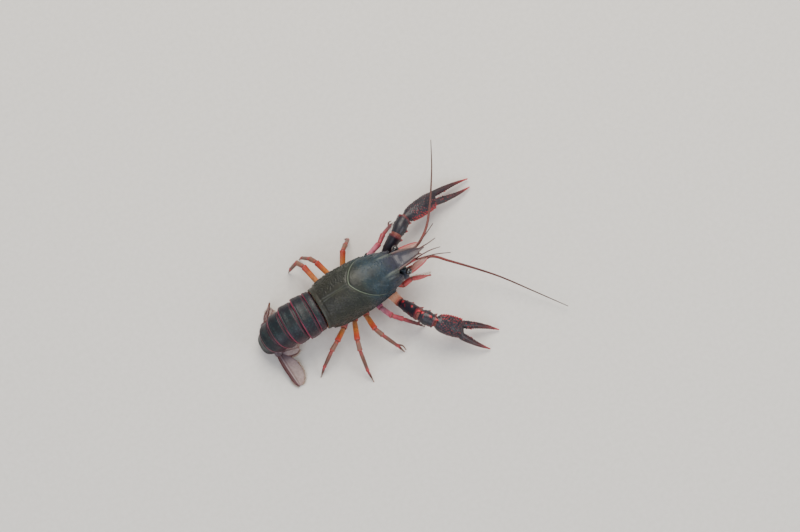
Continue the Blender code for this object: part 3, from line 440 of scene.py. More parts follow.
# The belly: thin pale peach cuticle over the flesh
bellyCuticle = cuticle("belly cuticle, pale peach",
    ((0.0, "#b0765a"), (0.5, "#c08a6a"), (1.0, "#b0765a")),
    cloudSize=2.0, cloud=0.4, cloudColour="#9c5a42", speckle=0.15, speckleColour="#dcb494",
    under=0.2, underColour="#cf9c78", edge=0.5, edgeColour="#8a4a3c", relief=0.3, reliefColour="#a4583e",
    pitSize=0.35, bump=0.25, rough=0.5, coat=0.0, soft=0.3)
# The tail fan: thin leathery cuticle, a mauve grey membrane between dark red brown rims and ridges
fanCuticle = cuticle("tail fan cuticle, mauve grey",
    ((0.0, "#2b2029"), (0.16, "#54424a"), (0.35, "#8c7a7a"), (0.8, "#a08e88"), (1.0, "#967c76")),
    cloudSize=1.6, cloud=0.35, cloudColour="#4c3a42", speckleSize=0.5, speckle=0.35, speckleColour="#6c4c54",
    under=0.2, underColour="#7c5a54", edge=0.95, edgeColour="#451618", relief=0.6, reliefColour="#48181d",
    rough=0.42, coat=0.12, soft=0.25)
# Feelers: flexible ringed cuticle, brown red and darker towards the tip
feelerCuticle = cuticle("feeler cuticle, brown red",
    ((0.0, "#6e2c26"), (0.12, "#7a2f28"), (0.4, "#5c2a25"), (1.0, "#3c2522")),
    cloudSize=2.5, cloud=0.4, cloudColour="#36201c", speckle=0.15, speckleColour="#93503c",
    edge=0.5, edgeColour="#2c1614", rough=0.46, coat=0.05, soft=0.1)
# Cornea: clear cuticle over black eye pigment, the glossiest thing on the animal
eyeCornea = cuticle("cornea over black pigment",
    ((0.0, "#2a1c18"), (0.2, "#0c0b0c"), (1.0, "#08080a")),
    cloudSize=0.5, cloud=0.2, cloudColour="#15130f", speckle=0.05, speckleColour="#2a2620", under=0.1,
    underColour="#181210", pitSize=0.12, bump=0.12, rough=0.14, coat=0.8)
# Setae: flexible chitin hairs, tan to brown, matt
setaeChitin = cuticle("setae, tan chitin",
    ((0.0, "#a5805e"), (1.0, "#a5805e")), cloudSize=1.0, cloud=0.5, cloudColour="#7a5a44",
    speckle=0.0, under=0.2, underColour="#b5926c", bump=0.1, rough=0.55, coat=0.0)
print("materials made")


# Carapace

carapaceSizes = {
    "length": 38.0, "grooveX": 15.0, "grooveSweep": 15.0, "grooveWidth": 0.4, "lineWidth": 0.2,
    "halfWidth": ((0, 9.2), (3, 10.1), (8, 10.9), (14, 11.0), (21, 10.7), (27, 9.9), (32, 8.8), (36, 7.5),
                  (38, 6.7)),
    "top": ((0, 22.6), (3, 24.2), (9, 26.5), (16, 27.7), (23, 27.4), (29, 26.2), (34, 24.6), (38, 22.9)),
    "widestZ": ((0, 15.0), (8, 16.4), (16, 17.0), (38, 17.0)),
    "margin": ((0, 12.0), (4, 9.6), (8, 8.8), (12, 8.8), (26, 8.8), (30, 9.0), (34, 10.0), (38, 12.0)),
    "rows": 200, "columns": 168,
    # Each kind's number, radius, height, lean forward and sharpness
    "thoraxGranules": (820, 0.36, 0.24, 0.35, 1.2), "headGranules": (260, 0.34, 0.11, 0.3, 1.3),
    "spines": (46, 0.46, 0.34, 0.7, 1.2),
    # The strong spines at the groove's ends and behind each eye: place along, turn, and the same
    "grooveEnd": 0.825, "grooveSpines": ((1.5, 0.825, 0.8, 0.95, 1.0, 1.1), (2.6, 1.05, 0.6, 0.6, 0.9, 1.1),
                                         (-1.8, 0.78, 0.6, 0.5, 0.9, 1.1)),
    "eyeSpine": (37.0, 0.66, 0.55, 0.5, 1.2, 1.1),
    # How high each mark stands on the shell, and how far it shows the colour of worn edges
    "heights": {"groove": -0.5, "shoulder": 0.16, "areola": -0.25, "rear": -0.3, "rim": 0.12,
                "sideRim": 0.2, "sideGroove": -0.22, "branch": -0.2, "ridge": 0.7},
    "edges": {"line": 0.62, "areola": 0.08, "rim": 0.05, "sideRim": 0.1, "ridge": 0.06},
}
rostrumSizes = {
    "halfWidth": ((33, 4.6), (38, 4.2), (42, 3.5), (46, 2.4), (47.6, 1.8), (48.6, 1.0), (51.4, 0.2)),
    "edgeZ": ((33, 24.0), (36, 24.1), (38, 23.9), (42, 23.2), (46, 22.2), (48.6, 21.5), (51.4, 21.3)),
    "rear": 36.7, "rows": 100, "columns": 29,
    "trough": ((33, 0.0), (36, 0.25), (37, 0.5), (38, 0.82), (40, 1.12), (42, 1.05), (46, 0.72), (48.6, 0.3),
               (51.4, 0.06)),
    "carina": ((28.5, 0.0), (31, 0.12), (34, 0.55), (36, 1.1), (38, 1.9)),
}


def carapacePoint(x, turn):
    # The carapace's skin: turn runs 0 at the top, 1 at the widest level, 2 at the lower margin
    sizes = carapaceSizes
    half = smoothThrough(sizes["halfWidth"], x)
    middle = smoothThrough(sizes["widestZ"], x)
    low = smoothThrough(sizes["margin"], x)
    angle = np.clip(turn, 0, 1) * math.pi / 2
    power = 2 / 2.25
    y = half * np.sin(angle) ** power
    z = middle + (smoothThrough(sizes["top"], x) - middle) * np.cos(angle) ** power
    lower = np.clip(turn - 1, 0, 1) * math.pi / 2
    y = np.where(turn > 1, half * (0.80 + 0.20 * np.abs(np.cos(lower)) ** 0.9), y)
    z = np.where(turn > 1, middle - (middle - low) * np.sin(lower), z)
    return np.stack((x, y, z), -1)


def grooveLine(turn):
    # Where the cervical groove has got to at a turn round the carapace
    return carapaceSizes["grooveX"] + carapaceSizes["grooveSweep"] * np.minimum(turn, 1.2) ** 1.35


def shellMarks(grid, x, turns):
    # The groove and its line, the lip behind it, the two lines along the back, the rims, the branch
    # of the groove over the jaw, the ridge behind each eye, and the keels that run on to the rostrum
    sizes = carapaceSizes
    y = np.abs(grid[..., 1])
    grooveX = grooveLine(turns)
    distance = (x - grooveX) * np.cos(np.arctan(np.minimum(turns, 1.2) * 1.1))
    areolaY = 0.28 + 0.022 * np.abs(x - 8.5) ** 1.6
    areolaSpan = easeStep(x, 0.8, 2.0) * (1 - easeStep(x - grooveX, -1.6, -0.3)) * (turns < 0.4)
    branchSpan = easeStep(turns, 0.35, 0.6) * (1 - easeStep(turns, 1.0, 1.3))
    ridgeSpan = easeStep(x, 28.5, 32.5) * (1 - easeStep(x, 36.8, 37.6)) * (turns < 0.85)
    keelY = 0.9 * smoothThrough(rostrumSizes["halfWidth"], np.maximum(x, 33)) + 0.05 * np.maximum(34 - x, 0)
    return {
        "groove": bell(distance, sizes["grooveWidth"]) * (1 - 0.5 * easeStep(turns, 0.9, 1.5)),
        "line": bell(distance, sizes["lineWidth"]) * (1 - 0.8 * easeStep(turns, 0.75, 1.1)),
        "shoulder": bell(distance + 1.5, 1.1),
        "areola": bell(y - areolaY, 0.24) * areolaSpan,
        "rear": bell(x - 1.7, 0.45),
        "rim": 1 - easeStep(x, 0.5, 1.1),
        "sideRim": easeStep(turns, 1.86, 1.93),
        "sideGroove": bell(turns - 1.8, 0.045),
        "branch": bell(x - (grooveX + 6.5 + 3 * turns), 0.7) * branchSpan,
        "ridge": bell(y - (6.3 - 0.13 * (x - 29.5)), 0.42) * ridgeSpan,
        "keel": bell(y - keelY, 0.5) * smoothThrough(rostrumSizes["carina"], x) * (turns < 0.72),
    }


def shellBumps():
    # Granules and spines of both sides, drawn in the same order each time
    sizes = carapaceSizes
    draw = random.Random(4)
    perTurn = (sizes["columns"] - 1) / 2
    perX = (sizes["rows"] - 1) / sizes["length"]
    bumps = []

    def place(x, turn, radius, tall, lean, sharpness, grown=1.0):
        for way in (1, -1):
            column = turn * perTurn * way
            bumps.append((x * perX, column, radius * grown, tall * grown, (lean, 0, 0), sharpness))

    count, *granule = sizes["thoraxGranules"]
    for _ in range(count):
        # Granules over the gill chambers, coarser to the sides
        turn = draw.uniform(0.10, 1.72)
        x = draw.uniform(2.6, grooveLine(turn) - 1.4)
        if x < 35.5:
            place(x, turn, *granule, draw.uniform(0.8, 1.15) * (0.85 + 0.3 * min(turn, 1)))
    count, *granule = sizes["headGranules"]
    for _ in range(count):
        turn = draw.uniform(0.05, 1.5)
        place(draw.uniform(grooveLine(turn) + 1.2, 37.0), turn, *granule)
    count, *spine = sizes["spines"]
    for _ in range(count):
        # Larger tubercles with their points forward, on the flanks behind and before the groove
        turn = draw.uniform(0.55, 1.5)
        x = draw.uniform(9, 35)
        if abs(x - grooveLine(turn)) > 1.3:
            place(x, turn, *spine)
    for ahead, *spine in sizes["grooveSpines"]:
        place(grooveLine(sizes["grooveEnd"]) + ahead, *spine)
    place(*sizes["eyeSpine"])
    return bumps


def makeCarapace():
    sizes = carapaceSizes
    x, turns = np.meshgrid(np.linspace(0, sizes["length"], sizes["rows"]),
                           np.linspace(0, 2, sizes["columns"]), indexing="ij")
    grid = carapacePoint(x, turns)

    # Full ring: up the left side, down the right, and across the belly
    other = grid[:, :0:-1] * (1, -1, 1)
    share = np.linspace(0, 1, 8)[1:-1, None]
    belly = grid[:, -1:] * (1 - share) + other[:, :1] * share + (0, 0, 1.2) * np.sin(math.pi * share)
    full = np.concatenate((grid, belly, other), axis=1)

    def around(values):
        # The same values on both sides, and nothing on the belly
        return np.concatenate((values, np.zeros(belly.shape[:2]), values[:, :0:-1]), axis=1)

    marks = shellMarks(grid, x, turns)
    height = sum(tall * marks[name] for name, tall in sizes["heights"].items())
    full = full + outwardOf(full) * around(height)[..., None]
    full[..., 2] += around(marks["keel"])
    # The front edge is drawn back above each eye's stalk
    full[..., 0] -= around(1.3 * bell(turns - 0.5, 0.16) * easeStep(x, 33.5, 38.0))
    full, relief = raiseBumps(full, shellBumps())

    # Close the front with a shallow hollow and the rear with a flat wall
    def inset(ring, share, dx):
        moved = (0, 0, 17.0) + (ring - (0, 0, 17.0)) * share
        moved[:, 0] = ring[:, 0] + dx
        return moved

    front = [inset(full[-1], share, dx)
             for share, dx in ((0.965, 0.05), (0.93, -0.35), (0.86, -0.9), (0.5, 0))]
    front[-1][:, 0] = full[-1][:, 0] * 0.3 + 37.0 * 0.7
    back = [inset(full[0], share, dx) for share, dx in ((0.6, 1.0), (0.9, 1.0), (0.96, 0.0))]
    grid = np.concatenate((back, full, front))

    def padded(values, last):
        return np.pad(values, ((len(back), len(front)), (0, 0)), constant_values=((0, last), (0, 0)))

    edge = sum(share * marks[name] for name, share in sizes["edges"].items()) + np.minimum(marks["keel"], 0.2)
    shell = skin(grid, padded(around(x / sizes["length"]), 1), padded(relief, 0),
                 padded(around(np.clip(edge, 0, 1)), 0.1))
    # The belly and the rear wall are joint skin
    kinds = np.zeros((grid.shape[0] - 1, grid.shape[1]), int)
    kinds[:, sizes["columns"]:sizes["columns"] + belly.shape[1]] = 1
    kinds[:2] = 1
    shell["finish"] = kinds.reshape(-1).tolist() + [1, 0]
    addPiece("carapace", [shell, makeRostrum()], [carapaceCuticle, bellyCuticle, rostrumCuticle],
             "carapaceShell")


def makeRostrum():
    sizes = rostrumSizes
    x = np.linspace(sizes["rear"], rostrumTip, sizes["rows"])[:, None]
    half, edgeZ, trough = (smoothThrough(sizes[name], x) for name in ("halfWidth", "edgeZ", "trough"))
    v = np.linspace(1, -1, sizes["columns"])
    rim = bell(np.abs(v) - 0.88, 0.12) * 0.22
    top = edgeZ - trough * (1 - np.abs(v) ** 2.4) + rim * np.minimum(half, 1.5)
    # Its root follows the arch of the carapace and the two keels on it
    across = np.abs(half * v)
    front = np.minimum(x, carapaceSizes["length"])
    shellHalf, shellTop, level = (smoothThrough(carapaceSizes[name], front)
                                  for name in ("halfWidth", "top", "widestZ"))
    arch = level + (shellTop - level) * (1 - (across / shellHalf) ** 2.25) ** (1 / 2.25)
    keel = smoothThrough(sizes["carina"], front) * bell(across - 0.9 * half, 0.5)
    share = easeStep(x, 37.4, 41.0)
    top = (arch + keel + 0.06 * (front - 37.2)) * (1 - share) + top * share
    low = edgeZ - (trough + 0.4 + 0.2 * half) * (1 - 0.75 * v[::-1] ** 2) - 0.1
    y = np.concatenate((half * v, half * v[::-1] * 0.93), axis=1)
    grid = np.stack((np.broadcast_to(x, y.shape), y, np.concatenate((top, low), axis=1)), -1)
    bumps = []
    for way, inward in ((0, 1), (sizes["columns"] - 1, -1)):
        # A spine on each side before the tip, and small teeth along the rims
        bumps.append((74, way, 0.7, 0.55, (1.6, 0, 0.3), 1.2))
        bumps += [(row, way + inward, 0.3, 0.12, (0.4, 0, 0), 1.3) for row in range(12, 72, 7)]
    grid, relief = raiseBumps(grid, bumps)
    grid[..., 0] = np.minimum(grid[..., 0], rostrumTip)
    edge = np.broadcast_to(np.clip(np.concatenate((rim, rim * 0)) * 3, 0, 1), grid.shape[:2])
    return skin(grid, np.clip((x - 36) / 15, 0, 1), relief, edge, 2)


makeCarapace()
print("carapace made")


# Eyes

eyeSizes = {
    "rootY": 3.4, "rootZ": 19.9, "rootDepth": 1.4, "ahead": 0.75, "outwards": 0.66, "stalkLength": 2.3,
    "radius": 1.5, "sunk": 50, "rows": 30, "columns": 40,
    "stalkWide": ((0, 0.8), (0.45, 0.82), (0.7, 0.98), (0.92, 1.16), (1, 1.0)),
}


def makeEyes():
    sizes = eyeSizes
    upward = (0, 0, 1.0)
    for side, way in (("left", 1), ("right", -1)):
        along = unit((sizes["ahead"], sizes["outwards"] * way, 0.0))
        root = np.array((carapaceSizes["length"], sizes["rootY"] * way, sizes["rootZ"]))
        start, end = root - along * sizes["rootDepth"], root + along * (sizes["stalkLength"] + 0.1)
        t = np.linspace(0, 1, 24)
        radius = smoothThrough(sizes["stalkWide"], t)
        stalk = sweep(start + (end - start) * t[:, None], upward, ovalRing(28, radius, radius))
        stalk = skin(stalk, t * 0.3 + 0.6, rounding=0.35)
        addPiece("eyestalk_" + side, [stalk], [carapaceCuticle])
        base = root + along * (sizes["stalkLength"] + sizes["radius"] * math.sin(math.radians(sizes["sunk"])))
        lift = np.radians(np.linspace(-sizes["sunk"], 86, sizes["rows"]))
        radius = sizes["radius"] * np.cos(lift)
        ball = sweep(base + along * (sizes["radius"] * np.sin(lift))[:, None], upward,
                     ovalRing(sizes["columns"], radius, radius))
        addPiece("eye_" + side, [skin(ball)], [eyeCornea])


makeEyes()
print("eyes made")


# Limbs

limbSizes = {
    "rows": 26, "columns": 22, "gap": 0.08, "square": 0.4, "pleats": 18, "pleatDepth": 0.02,
    # Place along a length, which of its three radii holds there, and how much of it
    "profile": ((0, 0, 0.8), (0.05, 0, 0.88), (0.14, 0, 1), (0.5, 1, 1), (0.84, 2, 1), (0.94, 2, 1.06),
                (0.985, 2, 1.02), (1, 2, 0.92)),
}


def limbLength(start, end, startNormal, endNormal, radii, side, before, parts):
    # One hard length of a limb, after so many others: slim where it enters the one before, and with
    # a rim where it ends
    t = 0.5 - 0.5 * np.cos(math.pi * np.linspace(0, 1, limbSizes["rows"]))
    radius = smoothThrough([(place, radii[k] * share) for place, k, share in limbSizes["profile"]], t)
    sections = ovalRing(limbSizes["columns"], radius, radius)
    edge = np.maximum(1 - easeStep(t, 0.0, 0.08), easeStep(t, 0.88, 0.95))
    grid = spanGrid(start, end, startNormal, endNormal, side, t, sections)
    return skin(grid, (before + t) / parts, None, edge, rounding=0.12)


def limbJoint(point, before, after, radius, side, place, squash=1.0):
    # The rounded, pleated joint skin between two hard lengths
    sizes = limbSizes
    lift = np.radians(np.linspace(-80, 80, 17))
    path = point + unit(before + after) * (radius * 0.95 * np.sin(lift))[:, None]
    size = radius * (0.95 * np.cos(lift) + sizes["pleatDepth"] * np.cos(lift * sizes["pleats"]))
    grid = sweep(path, side, ovalRing(sizes["columns"], size, size * squash))
    return skin(grid, np.full(len(grid), place), finish=1)


def limbForms(points, radii, groups, side, parts=None):
    # The forms of a jointed limb, one list for each group of lengths (first, last)
    points = [np.array(p, float) for p in points]
    runs = [unit(b - a) for a, b in zip(points, points[1:])]
    bends = [unit(a + b) for a, b in zip(runs, runs[1:])]
    square, gap, final = limbSizes["square"], limbSizes["gap"], len(runs) - 1
    starts = [runs[0]] + [unit(bend + run * square) for bend, run in zip(bends, runs[1:])]
    ends = [unit(bend + run * square) for bend, run in zip(bends, runs)] + [runs[-1]]
    parts = parts or len(runs)
    lists = []
    for first, last in groups:
        forms = []
        for k in range(first, last + 1):
            start = points[k] + runs[k] * (gap if k else 0.0)
            end = points[k + 1] - runs[k] * (gap if k < final else 0.0)
            forms.append(limbLength(start, end, starts[k], ends[k], radii[k], side, k, parts))
            if k < final and (k < last or last < final):
                joint = min(radii[k][2], radii[k + 1][0])
                forms.append(limbJoint(points[k + 1], *runs[k:k + 2], joint, side, (k + 1) / parts))
        lists.append(forms)
    return lists


# Walking legs: joints from the coxa to the tip on the floor
legJoints = {
    "leg_2_right": ((24.0, -5.7, 6.3), (24.4, -10.5, 6.7), (26.0, -17.0, 11.6),
                    (29.5, -20.0, 9.6), (35.0, -23.6, 3.4), (37.2, -25.2, 0.0)),
    "leg_3_right": ((19.5, -5.7, 6.3), (17.3, -10.3, 6.7), (16.9, -18.5, 12.0),
                    (18.6, -21.8, 9.4), (22.8, -27.8, 3.2), (24.3, -30.6, 0.0)),
    "leg_4_right": ((15.0, -5.7, 6.3), (11.8, -9.8, 6.7), (8.0, -19.0, 12.0),
                    (7.0, -23.0, 9.6), (6.2, -31.0, 3.2), (6.5, -35.6, 0.0)),
    "leg_5_right": ((10.4, -5.7, 6.3), (6.2, -10.4, 6.9), (0.6, -14.8, 10.6),
                    (-3.2, -16.8, 8.4), (-9.0, -20.2, 3.0), (-12.0, -22.6, 0.0)),
    "leg_2_left": ((24.0, 5.7, 6.3), (26.4, 10.6, 6.7), (37.4, 13.9, 9.8),
                    (41.0, 16.9, 8.6), (46.4, 20.4, 2.8), (48.6, 21.8, 0.0)),
    "leg_3_left": ((19.5, 5.7, 6.3), (17.9, 11.2, 7.0), (22.2, 18.3, 12.1),
                    (24.7, 20.6, 9.8), (27.7, 23.8, 3.4), (28.7, 24.8, 0.0)),
    "leg_4_left": ((15.0, 5.7, 6.3), (13.2, 10.8, 6.9), (9.9, 19.6, 11.6),
                    (8.6, 22.8, 9.6), (6.6, 26.6, 3.3), (5.7, 27.5, 0.0)),
    "leg_5_left": ((10.6, 5.7, 6.3), (7.0, 10.8, 7.2), (4.3, 20.6, 11.6),
                    (2.8, 24.0, 9.8), (0.0, 24.6, 3.4), (-1.1, 24.6, 0.0)),
}
legRadii = ((1.75, 1.6, 1.35), (1.1, 1.2, 1.25), (0.95, 1.05, 1.1), (0.85, 0.85, 0.75), (0.6, 0.45, 0.2))

# Movable finger of a small pincer: the place on the fixed length where it starts, how far its middle
# and its tip stand out, how high its tip is, and its radius at both ends
pincerSizes = {"root": 0.86, "bow": 0.95, "out": 0.9, "lift": 0.75, "near": 0.5, "far": 0.2, "rows": 24}


def makeLegs():
    sizes = pincerSizes
    for name, joints in legJoints.items():
        corner = [np.array(p) for p in joints]
        side = unit(np.cross(corner[2] - corner[1], corner[3] - corner[2]))
        upper, lower = limbForms(joints, legRadii, ((0, 1), (2, 4)), side)
        if name[4] in "23":
            knuckle = corner[3] + (corner[4] - corner[3]) * sizes["root"]
            tip = corner[5] + side * sizes["out"] + (0, 0, sizes["lift"])
            path = curvePoints((knuckle, (knuckle + tip) / 2 + side * sizes["bow"], tip), sizes["rows"])
            t = np.linspace(0, 1, sizes["rows"])
            radius = sizes["near"] + (sizes["far"] - sizes["near"]) * t
            finger = sweep(path, side, ovalRing(14, radius, radius))
            lower.append(skin(finger, 0.8 + 0.2 * t, rounding=0.35))
        finish = frontLegCuticle if name[4] == "2" else legCuticle
        for part, forms in (("upper", upper), ("lower", lower)):
            addPiece(name + "_" + part, forms, [finish, jointMembrane])


makeLegs()
print("walking legs made")


# Chelipeds and claws

chelipedSizes = {
    "right": ((31.0, -5.7, 6.2), (32.5, -12.5, 7.4), (36.0, -22.5, 13.0), (40.0, -28.5, 13.0)),
    "left": ((31.6, 5.7, 6.2), (37.0, 8.8, 7.0), (45.1, 12.8, 12.2), (52.1, 17.8, 11.6)),
    "radii": ((2.2, 2.2, 2.1), (2.1, 2.6, 2.8), (2.6, 3.2, 2.8), (1.6, 1.6, 1.6)),
    # How many tubercles the base, merus and carpus carry, and how many spines the last two have, and
    # each kind's radius, height, lean and sharpness
    "tubercles": (0, 26, 38), "tubercle": (0.5, 0.28, 0.5, 1.1), "spines": 5, "spine": (0.8, 0.85, 0.9, 1.0),
}
# End of the palm, tip of the movable finger, tip of the fixed finger, greatest half width
clawPlaces = {
    "right": ((48.8, -35.7, 7.7), (63.8, -42.3, 0.9), (56.3, -47.8, 0.9), 4.15),
    "left": ((67.6, 20.8, 6.2), (85.2, 19.0, 0.9), (86.3, 22.6, 1.2), 3.7),
}
clawSizes = {
    "palmWide": ((0, 0.42), (0.07, 0.56), (0.2, 0.82), (0.45, 0.98), (0.75, 1.0), (0.92, 0.97), (1.0, 0.92)),
    "palmThick": ((0, 0.38), (0.07, 0.51), (0.2, 0.66), (0.45, 0.75), (0.75, 0.71), (0.92, 0.6), (1.0, 0.49)),
    "fingerWide": 0.43, "fingerThick": 0.4, "fingerRoot": 0.52, "bow": 0.5,
    "palmRows": 110, "fingerRows": 100, "columns": 80,
    "fingerTubercles": 34, "teeth": 13, "toothRadius": 0.42, "shoulder": 0.16,
    # Number, radius, height, lean and sharpness of the palm's tubercles, for a claw of half width 4,
    # and the turn and share of size of each row along the inner edge
    "palmTubercles": (130, 0.5, 0.34, 0.5, 1.2), "innerTubercles": (9, 0.72, 0.8, 0.8, 1.1),
    "innerRows": ((0.02, 1.0), (0.24, 0.8), (-0.22, 0.75)),
    # Each finger's rows left free before its tubercles and in all, their turns, radius, height and
    # lean, and the same for its teeth: where they bite, which one is large, how large, and the height
    "fixed": {"free": (10, 26), "turns": (0.55, 1.0, 1.5), "tubercle": (0.36, 0.24, 0.4),
              "toothFree": (16, 30), "biting": 0.0, "large": (3, 1.7), "tooth": 0.4},
    "moving": {"free": (6, 24), "turns": (0.0, 0.45, 0.9, 1.4), "tubercle": (0.42, 0.34, 0.5),
               "toothFree": (12, 24), "biting": 0.5, "large": (2, 1.6), "tooth": 0.38},
}


def fingerGrid(route, across, size, normal):
    # A tapering finger along a route from its root to its tip
    sizes = clawSizes
    path = curvePoints(route, sizes["fingerRows"])
    t = np.linspace(0, 1, sizes["fingerRows"])
    blendIn = (1 - easeStep(t, 0, 0.12))[:, None]
    along = unit(unit(np.gradient(path, axis=0)) * (1 - blendIn) + normal * blendIn)
    wide = size * (1 - 0.86 * t ** 1.3)
    ring = ovalRing(sizes["columns"], sizes["fingerWide"] * wide, sizes["fingerThick"] * wide, 2.2)
    return sweep(path, across, ring, along)


def fingerBumps(draw, start, length, quarter, axis, size, sizes):
    # Tubercles over a finger, smaller towards its tip, and blunt teeth along its biting edge, one of
    # them much larger than the rest
    bumps = []
    tubercles, teeth = clawSizes["fingerTubercles"], clawSizes["teeth"]
    biting = sizes["biting"] * clawSizes["columns"]
    radius, tall, lean = sizes["tubercle"]
    for k in range(tubercles):
        row = sizes["free"][0] + (length - sizes["free"][1]) * (k + 0.5) / tubercles
        around = quarter * draw.choice(sizes["turns"]) + draw.uniform(-1.5, 1.5)
        thin = (1 - 0.6 * row / length) * size / 4
        bumps.append((start + row, around, radius * thin, tall * thin, axis * lean, 1.2))
    for k in range(teeth):
        row = sizes["toothFree"][0] + (length - sizes["toothFree"][1]) * (k + 0.5) / teeth
        grown = (sizes["large"][1] if k == sizes["large"][0] else 1.0) * (1 - 0.5 * k / teeth) * size / 4
        radius = clawSizes["toothRadius"] * grown
        bumps.append((start + row, biting, radius, sizes["tooth"] * grown, (0, 0, 0), 1.0))
    return bumps


def palmBumps(draw, palmRows, quarter, axis, size):
    # Tubercles over the upper side of the palm, and rows of strong ones along its inner edge
    bumps = []
    count, radius, tall, lean, sharpness = clawSizes["palmTubercles"]
    for k in range(count):
        row = palmRows * (0.14 + 0.84 * ((k * goldenShare) % 1.0))
        around = quarter * (-0.15 + 2.2 * (k + 0.5) / count + draw.uniform(-0.1, 0.1))
        inward = max(0.0, 1 - abs(around) / abs(quarter) / 1.1)
        grown = draw.uniform(0.75, 1.15) * (0.75 + 0.5 * inward) * size / 4
        bumps.append((row, around, radius * grown, tall * grown, axis * lean, sharpness))
    count, radius, tall, lean, sharpness = clawSizes["innerTubercles"]
    for k in range(count):
        for turn, share in clawSizes["innerRows"]:
            row = palmRows * (0.2 + 0.76 * (k + 0.5 * (turn > 0.1)) / count)
            grown = share * size / 4
            bumps.append((row, quarter * turn, radius * grown, tall * grown, axis * lean, sharpness))
    return bumps


def roundedWithBumps(grid, bumps, full):
    # A form with rounded ends, whose bumps are counted from its first row before the rounding
    return raiseBumps(closedEnds(grid, 0.3), [(row + 2, *rest) for row, *rest in bumps], full)


def makeClaw(side, wrist, lastRun):
    sizes = clawSizes
    knuckle, movingTip, fixedTip, size = clawPlaces[side]
    wrist, knuckle = np.array(wrist), np.array(knuckle)
    axis = unit(knuckle - wrist)
    inner = unit((axis[1], -axis[0], 0.0)) * (1 if side == "left" else -1)
    up = np.cross(axis, inner)
    quarter = sizes["columns"] / 4 * (1 if up[2] > 0 else -1)
    t = np.linspace(0, 1, sizes["palmRows"])
    ring = ovalRing(sizes["columns"], smoothThrough(sizes["palmWide"], t) * size,
                    smoothThrough(sizes["palmThick"], t) * size, 2.3)
    centre = wrist + (knuckle - wrist) * t[:, None] - axis * 0.15
    palm = centre[:, None] + inner * ring[..., :1] + up * ring[..., 1:]
    fingers = []
    for tip, out, forward in ((fixedTip, -inner, -0.4 * size), (movingTip, inner, 0.15)):
        root = knuckle + out * sizes["fingerRoot"] * size + axis * forward
        reach = np.array(tip) - root
        bow = out * sizes["bow"]
        route = (root, root + reach * 0.35 + bow, root + reach * 0.7 + bow, root + reach)
        fingers.append(fingerGrid(route, inner, size, axis))

    # The hand: the palm runs on into the fixed finger past a shoulder that holds the other finger
    finger = fingers[0][int(sizes["fingerRows"] * sizes["shoulder"]):]
    share = np.linspace(0, 1, 9)[1:-1, None, None]
    hand = np.concatenate((palm[:-2], palm[-1] * (1 - share) + finger[0] * share, finger))
    palmRows = len(palm) - 2
    length = len(hand) - palmRows
    draw = random.Random(11 if side == "right" else 12)
    bumps = palmBumps(draw, palmRows, quarter, axis, size)
    bumps += fingerBumps(draw, palmRows, length, quarter, axis, size, sizes["fixed"])
    hand, relief = roundedWithBumps(hand, bumps, 0.62)
    along = np.concatenate((np.linspace(0, 0.5, palmRows), np.linspace(0.5, 1.0, length)))
    edge = np.concatenate((bell(np.arange(palmRows), 4), np.zeros(length)))
    wristSkin = limbJoint(wrist, lastRun, axis, 0.55 * size, inner, 0.5, 0.85)
    addPiece("claw_palm_" + side, [skin(hand, padMarks(along), relief, padMarks(edge)), wristSkin],
             [clawCuticle, jointMembrane])

    finger = fingers[1]
    hinge = finger[0].mean(0)
    root = [hinge + (finger[0] - hinge) * share - axis * depth
            for share, depth in ((0.5, 1.1), (0.8, 0.8), (0.94, 0.4))]
    finger = np.concatenate((root, finger))
    rows = len(finger)
    bumps = fingerBumps(draw, 0, rows, quarter, axis, size, sizes["moving"])
    finger, relief = roundedWithBumps(finger, bumps, 0.5)
    edge = bell(np.arange(rows + 4), 5) * 0.8
    addPiece("claw_dactyl_" + side, [skin(finger, padMarks(np.linspace(0.45, 1.0, rows)), relief, edge)],
             [clawCuticle], "clawFinger" + side.title())


def makeChelipeds():
    sizes = chelipedSizes
    columns = limbSizes["columns"]
    for side, way in (("right", -1), ("left", 1)):
        joints = [np.array(p) for p in sizes[side]]
        lastRun = unit(joints[3] - joints[2])
        across = unit(np.cross((0, 0, 1.0), joints[2] - joints[1]))
        lists = limbForms(joints + [clawPlaces[side][0]], sizes["radii"], ((0, 0), (1, 1), (2, 2)), across, 7)
        draw = random.Random(21)
        inside = 0.0 if (across @ (joints[3] - joints[2])) * way < 0 else 0.5
        for part, forms, tubercles in zip(("base", "merus", "carpus"), lists, sizes["tubercles"]):
            if tubercles:
                # Tubercles over the upper side, and strong spines along the inner edge
                bumps = []
                radius, tall, lean, sharpness = sizes["tubercle"]
                for n in range(tubercles):
                    row = 5 + 20 * ((n * goldenShare) % 1.0)
                    around = (inside + draw.uniform(-0.12, 0.62)) * columns
                    bumps.append((row, around, radius, tall, lastRun * lean, sharpness))
                radius, tall, lean, sharpness = sizes["spine"]
                for n in range(sizes["spines"]):
                    around = (inside + (0.02 if n % 2 else 0.22)) * columns
                    bumps.append((9 + 4.2 * n, around, radius, tall, lastRun * lean, sharpness))
                grid, relief = raiseBumps(forms[0]["points"].reshape(-1, columns, 3), bumps, 0.7)
                forms[0]["points"] = grid.reshape(-1, 3)
                forms[0]["marks"]["relief"] = relief.reshape(-1)
            addPiece("cheliped_" + part + "_" + side, forms,
                     [clawCuticle if tubercles else baseCuticle, jointMembrane])
        makeClaw(side, joints[3], lastRun)


makeChelipeds()
print("claws made")


# Face, feelers and mouthparts

